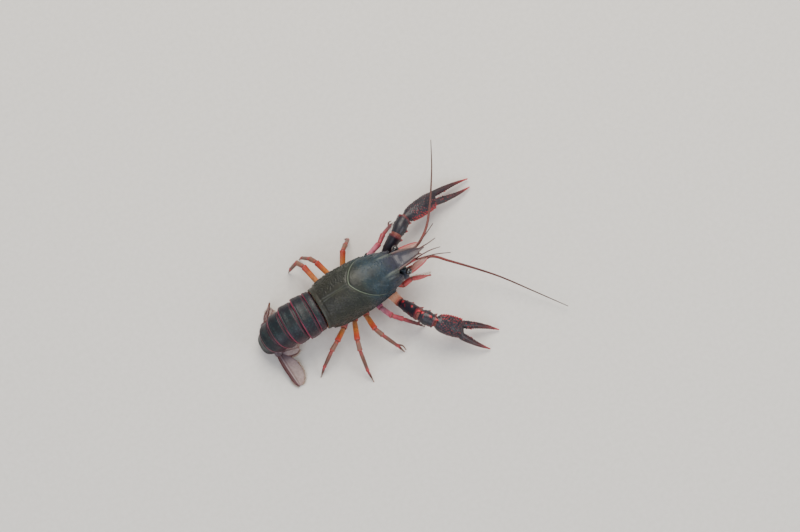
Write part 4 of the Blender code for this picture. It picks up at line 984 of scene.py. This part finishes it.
faceSizes = {
    "start": 38.3, "depth": 2.9, "halfWidth": 6.6, "lowZ": 10.6, "topZ": 18.4, "socketY": 2.7,
    "rows": 26, "columns": 90,
    "share": ((0, 0.94), (0.3, 1.0), (0.7, 0.99), (0.9, 0.94), (1, 0.82)),
}
antennaRoutes = {
    "right": ((47.6, -3.1, 14.9), (53.0, -3.6, 15.0), (58.5, -8.2, 13.0), (68.6, -17.3, 9.0),
              (75.4, -24.4, 7.0), (84.8, -36.3, 4.6), (94.0, -48.5, 3.0)),
    "left": ((47.6, 3.1, 14.9), (51.9, 4.4, 16.2), (57.2, 8.3, 17.0), (62.5, 14.8, 17.4),
             (67.4, 22.0, 17.6), (73.0, 31.0, 16.4), (79.0, 42.0, 14.0)),
}
# Radius at the root and the tip, length of a ring, and points round it
feelerSizes = {"antenna": (0.66, 0.16, 0.7, 12), "antennule": (0.36, 0.16, 0.5, 9)}
ringSteps = ((0.955, 1.0), (1.0, 0.1), (1.03, 0.0), (1.025, 0.3))    # share of the radius, and wear
antennuleRoutes = (
    ((45.2, 2.05, 17.6), (50.0, 3.2, 18.6), (55.0, 5.0, 19.6), (60.0, 7.4, 20.2)),
    ((45.2, 1.75, 17.5), (50.0, 1.5, 17.7), (54.0, 1.6, 17.6), (58.0, 2.2, 17.0)),
)


def makeFace():
    sizes = faceSizes
    middle = np.array((0, 0, (sizes["topZ"] + sizes["lowZ"]) / 2))
    t = np.linspace(0, 1, sizes["rows"])
    share = smoothThrough(sizes["share"], t)
    high = share * (sizes["topZ"] - sizes["lowZ"]) / 2
    ring = ovalRing(sizes["columns"], share * sizes["halfWidth"], high, 2.8)
    x = sizes["start"] - 0.5 + (sizes["depth"] + 0.35) * t
    grid = np.concatenate((np.broadcast_to(x[:, None, None], (*ring.shape[:2], 1)), ring), -1) + middle
    inner = []
    for scale in (0.8, 0.6, 0.4, 0.2):
        # Its front is dished round the feelers' sockets
        ring = (grid[-1] - middle) * (1, scale / 0.9, scale / 0.9) + middle
        ring[:, 0] = grid[-1][:, 0] + 0.12 - 0.35 * bell(np.abs(ring[:, 1]) - sizes["socketY"], 0.5)
        inner.append(ring)
    grid = np.concatenate((grid, inner))
    edge = bell(np.abs(grid[..., 1]) - sizes["socketY"], 0.5) * 0.6
    plate = skin(grid, np.full(len(grid), 0.9), None, edge)
    addPiece("face", [plate], [carapaceCuticle], "facePlate")


def feeler(route, near, far, ringLength, columns, finish=0):
    # A whip of many short rings, each a little wider at its far end
    rings = int(np.linalg.norm(np.diff(np.array(route), axis=0), axis=1).sum() / ringLength)
    path = curvePoints(route, rings * 4 + 1)
    t = np.linspace(0, 1, len(path))
    step, edge = np.tile(ringSteps, (rings + 1, 1))[:len(path)].T
    radius = (near + (far - near) * t) * step
    side = unit(np.cross((0, 0, 1.0), path[-1] - path[0]))
    return skin(sweep(path, side, ovalRing(columns, radius, radius)), t, None, edge, finish, 0.8)


def bladeForm(root, tip, across, halfWidth, thickness, outline, edgeLift=0.0, ridge=0.18, ribs=0, rows=60,
              columns=25, thickRim=0.5):
    # A thin leaf with a raised middle line, a thicker edge on one side, and fine ribs to its rim
    root, tip = np.array(root, float), np.array(tip, float)
    along = unit(tip - root)
    across, normal = squareTo(along, across)
    place = np.linspace(0, 1, rows)[:, None]
    v = np.linspace(-1, 1, columns)
    thickSide, thinSide = (smoothThrough([(stop[0], stop[k]) for stop in outline], place) for k in (1, 2))
    width = np.where(v < 0, thickSide, thinSide) * halfWidth * v
    half = thickness * (0.5 - 0.3 * v**2) + ridge * bell(v, 0.12) + edgeLift * bell(v + 0.97, 0.1)
    half = half * (0.6 + 0.4 * np.minimum(1, (1 - place) * 3))
    if ribs:
        fan = np.sin(np.arctan2(v * 1.4, 0.35 + place) * ribs)
        half = half + 0.05 * fan * np.abs(v) * easeStep(place, 0.3, 0.9)
    flat = (root + (tip - root) * place)[:, None] + across * width[..., None]
    lift = normal * half[..., None]
    grid = np.concatenate((flat + lift, (flat - lift * 0.9)[:, ::-1]), axis=1)
    rim = easeStep(-v, thickRim - 0.1, thickRim + 0.1) + 0.3 * easeStep(v, 0.85, 1.0) + 0.6 * bell(v, 0.1)
    edge = np.broadcast_to(np.clip(np.concatenate((rim, rim[::-1])), 0, 1), grid.shape[:2])
    return skin(grid, place, None, edge), flat[:, (0, -1)], along, across


# Length and thickness of the setae, the space between them, and the seed of their random draws
fringeSizes = {"antennaScale": (1.1, 0.045, 0.16, 31), "maxilliped": (1.3, 0.05, 0.22, 32),
               "swimmeret": (0.9, 0.045, 0.2, 50), "telson": (1.3, 0.05, 0.13, 61),
               "uropod": (1.3, 0.05, 0.13, 62)}


def fringe(kind, part, node, edges, shift=0):
    # Setae set close along the free rims: each edge is a line of points, the way that its hairs lean
    # and how long they are beside the others
    length, thick, spacing, seed = fringeSizes[kind]
    draw = random.Random(seed + shift)
    roots, ways, lengths = [], [], []

    def spread(reach):
        return [draw.uniform(-reach, reach) for _ in range(3)]

    for line, way, share in edges:
        count = max(4, int(np.linalg.norm(np.diff(line, axis=0), axis=1).sum() / spacing))
        for point in curvePoints(line, count):
            if point[2] > 0.35:
                roots.append(point + spread(0.05))
                ways.append(way + spread(0.22))
                lengths.append(length * share * draw.uniform(0.7, 1.1))
    addPiece(node, [setae(roots, ways, lengths, thick)], [setaeChitin], kind + "Hairs" + part)


# Outlines of the thin leaves: place along, and the share of the half width on the thick side and the other
scaleOutline = ((0, 0.5, 0.5), (0.15, 0.8, 0.9), (0.45, 0.85, 1.15), (0.75, 0.75, 0.85), (0.92, 0.5, 0.3),
                (1.0, 0.15, 0.08))
scaleSizes = {"root": (41.4, 5.3, 16.3), "tip": (50.8, 3.7, 17.6), "halfWidth": 1.45, "thickness": 0.9}


def makeFeelers():
    front = faceSizes["start"] + faceSizes["depth"]
    for side, way in (("left", 1), ("right", -1)):
        # Each stem has two lengths, and its third one only gives the way that the second one ends
        antennaStem = ((front - 0.3, 4.0, 13.7), (44.2, 3.8, 14.1), (47.45, 3.15, 14.85), (50, 3.0, 15))
        antennuleStem = ((front - 0.2, 1.6, 17.0), (43.6, 1.7, 17.3), (46.2, 1.9, 17.7), (48, 2, 18))
        stems = []
        for joints, radii in (
            (antennaStem, ((1.6, 1.7, 1.5), (1.3, 1.25, 1.1), (0.9, 0.9, 0.9))),
            (antennuleStem, ((0.9, 0.9, 0.8), (0.7, 0.7, 0.65), (0.4, 0.4, 0.4))),
        ):
            joints = [(x, y * way, z) for x, y, z in joints]
            stems.append(limbForms(joints, radii, ((0, 1),), (0, 1.0, 0), 2)[0])
        addPiece("antenna_base_" + side, stems[0], [palpCuticle, jointMembrane])
        route = [(x + 0.15, y, z) for x, y, z in antennaRoutes[side]]
        addPiece("antenna_" + side, [feeler(route, *feelerSizes["antenna"])], [feelerCuticle])
        root, tip = (np.array(scaleSizes[end]) * (1, way, 1) for end in ("root", "tip"))
        form, rims, along, across = bladeForm(root, tip, (0, -way, 0.25), scaleSizes["halfWidth"],
                                              scaleSizes["thickness"], scaleOutline, 0.25, ridge=0.12)
        addPiece("antenna_scale_" + side, [form], [scaleCuticle])
        fringe("antennaScale", side.title(), "antenna_scale_" + side,
               [(rims[18:56, 1], along * 0.7 + across, 1.0)])
        for route in antennuleRoutes:
            route = [(x, y * way, z) for x, y, z in route]
            stems[1].append(feeler(route, *feelerSizes["antennule"], 2))
        addPiece("antennule_" + side, stems[1], [palpCuticle, jointMembrane, feelerCuticle])


maxillipedJoints = {
    "right": ((33.65, -2.8, 6.8), (37.6, -6.6, 7.6), (41.6, -6.2, 8.4), (50.0, -8.5, 7.2)),
    "left": ((33.65, 2.8, 6.8), (38.4, 3.3, 7.4), (43.2, 3.0, 9.2), (45.8, 2.2, 7.4)),
}
maxillipedRadii = ((1.3, 1.4, 1.2), (1.2, 1.2, 1.1), (1.0, 0.9, 0.4))


def makeMaxillipeds():
    for side, joints in maxillipedJoints.items():
        forms = limbForms(joints, maxillipedRadii, ((0, 2),), (0, 0, 1.0))[0]
        addPiece("maxilliped_" + side, forms, [palpCuticle, jointMembrane])
        points = [np.array(p) for p in joints]
        edges = []
        for a, b in zip(points, points[1:]):
            inward = unit(np.cross(b - a, (0, 0, 1.0))) * (1 if side == "left" else -1)
            for lift in (-0.5, 0.2):
                line = np.stack((a, (a + b) / 2, b)) + inward * 0.85 + (0, 0, lift)
                edges.append((curvePoints(line, 5), inward + unit(b - a) * 0.6, 1.0))
        fringe("maxilliped", side.title(), "maxilliped_" + side, edges)


makeFace()
makeFeelers()
makeMaxillipeds()
print("face, feelers and mouthparts made")


# Underside of the thorax

sternumSizes = {
    "rear": 8.0, "front": 33.5, "halfWidth": 5.4, "top": 8.45, "floor": 4.4, "rows": 130, "columns": 72,
    "grooves": (12.75, 17.25, 21.75, 27.6),
    "share": ((0, 0.8), (0.06, 1.0), (0.5, 1.0), (0.94, 1.0), (1, 0.9)),
    "corners": ((1, 1), (0, 1), (-1, 1), (-1, 0.3), (-0.97, -0.35), (-0.72, -0.95), (-0.3, -0.78), (0, -0.72),
                (0.3, -0.78), (0.72, -0.95), (0.97, -0.35), (1, 0.3), (1, 1)),
}


def makeSternum():
    sizes = sternumSizes
    middle, half = (sizes["top"] + sizes["floor"]) / 2, (sizes["top"] - sizes["floor"]) / 2
    t = np.linspace(0, 1, sizes["rows"])
    x = sizes["rear"] + (sizes["front"] - sizes["rear"]) * t
    across, up = curvePoints([(a, b, 0) for a, b in sizes["corners"]], sizes["columns"] + 1)[:-1, :2].T
    # A groove between each two plates, and a keel along the middle
    under = np.clip(-up, 0, 1)
    groove = np.outer(bell(np.min([np.abs(x - at) for at in sizes["grooves"]], axis=0), 0.55), under)
    keel = bell(across, 0.12) * under
    z = middle + np.outer(smoothThrough(sizes["share"], t), up * half) + 0.55 * groove + 0.25 * keel
    y = across * sizes["halfWidth"]
    grid = np.stack((*np.broadcast_arrays(x[:, None], y), z), -1)
    edge = np.clip(groove + keel * 0.5, 0, 1)
    plates = skin(grid, t, None, edge, rounding=0.1)
    addPiece("sternum", [plates], [bellyCuticle], "sternumPlates")


makeSternum()
print("underside made")


# Tail

tailJoints = ((0.0, 0.0, 22.4), (-3.5, 0.0, 22.4), (-9.8, 0.1, 21.8), (-16.6, 0.3, 19.8),
              (-22.4, 0.5, 15.9), (-26.7, 0.6, 10.6), (-27.9, 0.6, 4.6))
tailSizes = {
    "halfWidths": (9.1, 9.5, 9.0, 8.1, 7.0, 5.4), "arches": (7.0, 7.6, 7.6, 7.0, 6.2, 4.6),
    "depths": (8.6, 11.4, 11.0, 10.0, 8.8, 6.6), "rows": 56, "columns": 150,
    "share": ((0.0, 0.95), (0.2, 0.99), (0.6, 1.0), (0.86, 1.02), (1.0, 0.99)),
    "drop": ((0.0, -0.9), (0.2, 0.0), (0.6, 0.9), (0.86, 0.2), (1.0, -0.6)),
    "swimmeretLength": 6.4, "swimmeretWide": 1.1, "swimmeretThick": 0.7,
    "granules": 90, "granule": (0.3, 0.05, (0, 0, 0), 1.4),
}
telsonSizes = {
    "end": (-16.8, 2.6, 0.5), "halfWidth": 4.2, "suture": 0.56, "rows": 90, "columns": 41,
    "outline": ((0.0, 0.92), (0.12, 1.0), (0.4, 1.02), (0.7, 0.96), (0.88, 0.86), (1.0, 0.5)),
}
uropodSizes = {
    "root": (4.9, 4.4), "stalkWide": ((0, 1.3), (0.2, 1.6), (0.8, 1.9), (1, 1.5)), "stalkRows": 20,
    "right": {"knee": (-22.2, -6.0, 3.4), "inner": ((-13.8, -7.4, 3.0), (0.3, 1.0, 0.2), 2.8, 0.0),
              "outer": ((-21.4, -21.6, 0.6), (1.0, 0.2, 0.0), 3.4, 0.3)},
    "left": {"knee": (-21.4, 8.6, 4.8), "inner": ((-15.4, 12.9, 3.4), (0.0, -1.0, -0.3), 2.4, 0.0),
             "outer": ((-15.1, 16.0, 3.4), (0.0, 0.25, -1.0), 2.6, 0.3)},
}
outerOutline = ((0.0, 0.36, 0.36), (0.12, 0.5, 0.75), (0.35, 0.58, 1.25), (0.6, 0.58, 1.4), (0.82, 0.5, 1.2),
                (0.95, 0.32, 0.7), (1.0, 0.15, 0.25))
innerOutline = ((0.0, 0.36, 0.36), (0.12, 0.6, 0.6), (0.35, 0.95, 0.95), (0.6, 1.0, 1.0), (0.82, 0.85, 0.85),
                (0.95, 0.5, 0.5), (1.0, 0.2, 0.2))
lobeOutline = ((0.0, 0.5, 0.5), (0.3, 1.0, 1.0), (0.7, 0.9, 0.9), (1.0, 0.3, 0.3))


def tailSection(half, arch, depth):
    # Across and up from the top of a tail length: an arched back, hanging flaps and a hollow belly
    angle = np.linspace(0, math.pi / 2, 7)
    right = list(zip(half * np.sin(angle) ** 0.85, -arch * (1 - np.cos(angle) ** 0.85)))
    right += [(half * 0.98, -(arch + depth) / 2), (half * 0.90, -depth + 0.25), (half * 0.82, -depth),
              (half * 0.72, -depth + 0.7), (half * 0.50, -depth + min(2.6, 0.35 * depth)),
              (half * 0.22, -depth + min(2.9, 0.39 * depth))]
    left = [(-a, b) for a, b in right[:0:-1]]
    ring = right + [(0, -depth + min(3.0, 0.4 * depth))] + left + [(0, 0)]
    return [(a, b, 0) for a, b in ring]


def makeSwimmerets(k, middle, run, side):
    # A pair of swimmerets, two narrow lobes each, and the lines that their hairs stand on
    sizes = tailSizes
    up = squareTo(run, side)[1]
    forms, rims = [], []
    for way in (-1, 1):
        root = middle + side * 3.7 * way - up * (sizes["depths"][k] - 3.6)
        for shift in (0.0, 1.0):
            reach = sizes["swimmeretLength"] * (1.12 - 0.12 * shift - 0.12 * k)
            tip = root - up * reach + side * (0.4 + 1.9 * shift) * way + run * (k - 2.5 - 0.5 * shift)
            sunk = root + up * 1.2 + side * 0.3 * shift * way
            wide = sizes["swimmeretWide"] * (1 - 0.2 * shift)
            form, lines, along, across = bladeForm(sunk, tip, side, wide, sizes["swimmeretThick"],
                                                   lobeOutline, ridge=0.1, rows=30, columns=13)
            form["finish"] = 1
            forms.append(form)
            rims += [(lines[12:, 0], along * 0.8 - across, 1.0), (lines[12:, 1], along * 0.8 + across, 1.0)]
    return forms, rims


def makeTailLength(k, start, finish, startNormal, finishNormal, side):
    sizes = tailSizes
    columns = sizes["columns"]
    place = np.linspace(0, 1, sizes["rows"])
    share = smoothThrough(sizes["share"], place)
    depth = sizes["depths"][k] + smoothThrough(sizes["drop"], place) * (0.5 if k in (0, 5) else 1.0)
    sections = []
    for s, d in zip(share, depth):
        corners = tailSection(sizes["halfWidths"][k] * s, sizes["arches"][k] * s, d)
        sections.append(curvePoints(corners, columns + 1)[:-1] + (0, 0.35 * (s - 0.99) / 0.03, 0))
    grid = spanGrid(start, finish, startNormal, finishNormal, side, place, np.array(sections))
    flank = np.abs(sections)[..., 0] / sizes["halfWidths"][k]
    # A smooth front band that slides under the plate before, a groove behind it, and a raised rear
    # rim, all of them over the back and the flaps but not in the hollow between the flaps
    turn = np.arange(columns) / columns
    back = (turn < 0.42) | (turn > 0.58)
    p = place[:, None]
    height = 0.14 * easeStep(p, 0.88, 0.93) - 0.28 * (1 - easeStep(p, 0.16, 0.22))
    height = (height - 0.22 * bell(p - 0.24, 0.035) - 0.12 * bell(p - 0.86, 0.02)) * back
    grid = grid + outwardOf(grid) * height[..., None]
    rim = easeStep(p, 0.90, 0.95) * (0.35 + 0.65 * easeStep(flank, 0.15, 0.6)) + 0.25 * bell(p - 0.24, 0.04)
    draw = random.Random(40 + k)
    bumps = []
    for n in range(sizes["granules"]):
        column = draw.uniform(0, 0.36) * columns * (1 if n % 2 else -1)
        bumps.append((draw.uniform(0.3, 0.84) * sizes["rows"], column, *sizes["granule"]))
    grid, relief = raiseBumps(grid, bumps)
    plate = skin(grid, flank, relief * 2, np.clip(rim * back, 0, 1), rounding=0.02)
    # The hollow is soft
    kinds = np.zeros((sizes["rows"] + 3, columns), int)
    kinds[:, int(0.40 * columns):int(0.60 * columns)] = 1
    plate["finish"] = kinds.reshape(-1).tolist() + [1, 1]
    return plate


def makeTail():
    joints = [np.array(p) for p in tailJoints]
    runs = [unit(b - a) for a, b in zip(joints, joints[1:] + [np.array(telsonSizes["end"])])]
    normals = [np.array((-1.0, 0, 0))] + [unit(a + b) for a, b in zip(runs, runs[1:-1])]
    normals.append(unit(runs[-2] * 2 + runs[-1]))
    side = np.array((0, -1.0, 0))
    for k, run in enumerate(runs[:-1]):
        start = joints[k] - run * (0.5 if k else -0.1)
        finish = joints[k + 1] + run * 0.1
        forms, rims = makeSwimmerets(k, (start + finish) / 2, run, side) if 1 <= k <= 4 else ([], [])
        plate = makeTailLength(k, start, finish, *normals[k:k + 2], side)
        number = str(k + 1)
        node = "somite_" + number
        addPiece(node, [plate] + forms, [tailCuticle, bellyCuticle], "tailLength" + number)
        if rims:
            fringe("swimmeret", number, node, rims, k)
    makeTelson(joints[-1], runs[-1], normals[-1], side)
    makeUropods(joints[-1], runs[-2], side, normals[-1])


def makeTelson(hinge, run, hingeNormal, side):
    # Folded under with its upper face to the floor: a front and a rear part with a joint line between
    sizes = telsonSizes
    place = np.linspace(0, 1, sizes["rows"])[:, None]
    v = np.linspace(-1, 1, sizes["columns"])
    half = sizes["halfWidth"] * smoothThrough(sizes["outline"], place)
    suture = bell(place - sizes["suture"], 0.018) * (np.abs(v) > 0.12)
    top = -0.15 * v**2 - 0.14 * suture + 0.10 * bell(np.abs(v) - 0.45, 0.08) - 0.08 * bell(v, 0.1)
    top = top - (0.35 + 0.9 * v**2) * (1 - easeStep(place, 0.0, 0.3))
    low = 0.6 * place - 1.5 + 0.3 * v**2 + 0.14 * suture - 0.10 * bell(np.abs(v) - 0.5, 0.1)
    sections = np.concatenate((np.stack((half * v, top), -1), np.stack((half * v, low), -1)[:, ::-1]), axis=1)
    start, end = hinge + run * 0.1, np.array(sizes["end"])
    grid = spanGrid(start, end, hingeNormal, run, side, place[:, 0], sections)
    rim = easeStep(np.abs(v), 0.82, 1) + suture * 0.7
    edge = np.clip(np.concatenate((rim, rim[:, ::-1]), axis=1), 0, 1)
    plate = skin(grid, place, None, edge, rounding=0.05)
    addPiece("telson", [plate], [fanCuticle], "telsonPlate")
    across, up = squareTo(run, side)
    left, right = (start + (end - start) * place + across * half * way - up * 0.6 for way in (-1, 1))
    rear = left[-1] + (right[-1] - left[-1]) * np.linspace(0, 1, 5)[:, None]
    half = sizes["rows"] // 2
    rims = [(left[half:], run * 0.8 - across, 1.0), (right[half:], run * 0.8 + across, 1.0), (rear, run, 1.2)]
    fringe("telson", "", "telson", rims)


def makeUropods(hinge, lastRun, side, hingeNormal):
    up = np.cross(lastRun, side)
    out, inward = uropodSizes["root"]
    for name, way in (("right", -1), ("left", 1)):
        sizes = uropodSizes[name]
        knee = np.array(sizes["knee"])
        offset = (0, out * way, 0) - up * inward
        root = hinge + offset - lastRun * (offset @ hingeNormal) / (lastRun @ hingeNormal)
        along = unit(knee - root)
        t = np.linspace(0, 1, uropodSizes["stalkRows"])
        wide = smoothThrough(uropodSizes["stalkWide"], t)
        stalk = sweep(root + (knee - root) * t[:, None], (1.0, 0, 0), ovalRing(30, wide, wide * 0.75))
        forms = [skin(stalk, np.full(len(t), 0.1), None, easeStep(t, 0.8, 1), rounding=0.4)]
        rims = []
        # Each blade's outline, the width of its thick rim, and where its hairs begin on that side
        for part, outline, thickRim, first in (
            ("inner", innerOutline, 0.75, 40),
            ("outer", outerOutline, 0.3, 58),
        ):
            tip, across, half, lift = sizes[part]
            base = knee - along * 0.9 + unit(np.array(tip) - knee) * 0.3
            form, lines, bladeAlong, bladeAcross = bladeForm(
                base, tip, across, half, 1.0, outline, lift, ribs=34, rows=80, columns=41, thickRim=thickRim)
            forms.append(form)
            rims.append((lines[30:, 1], bladeAlong * 0.8 + bladeAcross, 1.0))
            rims.append((lines[first:, 0], bladeAlong * 0.9 - bladeAcross, 0.8))
        addPiece("uropod_" + name, forms, [fanCuticle])
        fringe("uropod", name.title(), "uropod_" + name, rims)


makeTail()
print("tail made")


# Studio: a pale matt floor, soft light from above and the camera at the photo's angle

studioSizes = {
    "floorReach": 2.4, "floorColours": ("#d3d1cb", "#d9d7d2"), "azimuth": -30.0, "elevation": 73.0,
    "aim": (41.65, 3.41, 0.0), "frameWidth": 0.342, "lens": 150.0, "sensor": 36.0,
    "world": 0.55, "worldColour": "#eceef0", "lightDistance": 0.9,
    # Azimuth, elevation, size, power and colour of each light
    "lights": {"key": (150, 58, 0.7, 10.0, "#fff6ea"), "fill": (-60, 42, 0.8, 4.5, "#f2f4ff"),
               "back": (40, 32, 0.5, 3.0, "#ffffff")},
}


def fromAngles(azimuth, elevation):
    # The direction from the model to a place at such angles
    a, e = math.radians(azimuth), math.radians(elevation)
    return Vector((math.sin(a) * math.cos(e), -math.cos(a) * math.cos(e), math.sin(e)))


def setUp(name, data, place, way):
    # A camera or a light at a place, looking back along a way
    thing = bpy.data.objects.new(name, data)
    thing.location = place
    thing.rotation_euler = way.to_track_quat("Z", "Y").to_euler()
    bpy.context.scene.collection.objects.link(thing)
    return thing


def makeStudio():
    sizes = studioSizes
    bpy.ops.mesh.primitive_plane_add(size=2 * sizes["floorReach"], location=(0, 0, -0.02 * mm))
    floor = bpy.context.object
    floor.name = "floor"
    # Matt studio card: an even pale surface with a faint grain
    card = bpy.data.materials.new("matt card")
    card.use_nodes = True
    tree = card.node_tree
    shader = tree.nodes["Principled BSDF"]
    place = addNode(tree, "TexCoord").outputs["Object"]
    grain = addNode(tree, "TexNoise", (), {"Vector": place, "Scale": perMetre(2.0), "Detail": 3.0})
    stops = tuple(zip((0.3, 0.7), sizes["floorColours"]))
    colour = addNode(tree, "ValToRGB", {"stops": stops}, {"Fac": grain.outputs["Fac"]})
    tree.links.new(colour.outputs["Color"], shader.inputs["Base Color"])
    shader.inputs["Roughness"].default_value = 0.85
    floor.data.materials.append(card)

    world = bpy.data.worlds.new("soft room")
    world.use_nodes = True
    background = world.node_tree.nodes["Background"]
    background.inputs["Color"].default_value = linearColour(sizes["worldColour"])
    background.inputs["Strength"].default_value = sizes["world"]
    bpy.context.scene.world = world
    for name, (azimuth, elevation, size, power, colour) in sizes["lights"].items():
        light = bpy.data.lights.new(name, "AREA")
        light.shape = "DISK"
        light.size = size
        light.energy = power
        light.color = linearColour(colour)[:3]
        way = fromAngles(azimuth, elevation)
        setUp(name, light, way * sizes["lightDistance"], way)

    camera = bpy.data.cameras.new("camera")
    camera.lens = sizes["lens"]
    camera.sensor_width = sizes["sensor"]
    camera.clip_start, camera.clip_end = 0.01, 20
    way = fromAngles(sizes["azimuth"], sizes["elevation"])
    aim = Vector(bodyOrigin) + Vector(sizes["aim"]) * mm
    distance = sizes["frameWidth"] * sizes["lens"] / sizes["sensor"]
    bpy.context.scene.camera = setUp("camera", camera, aim + way * distance, way)


makeStudio()
print("studio made")
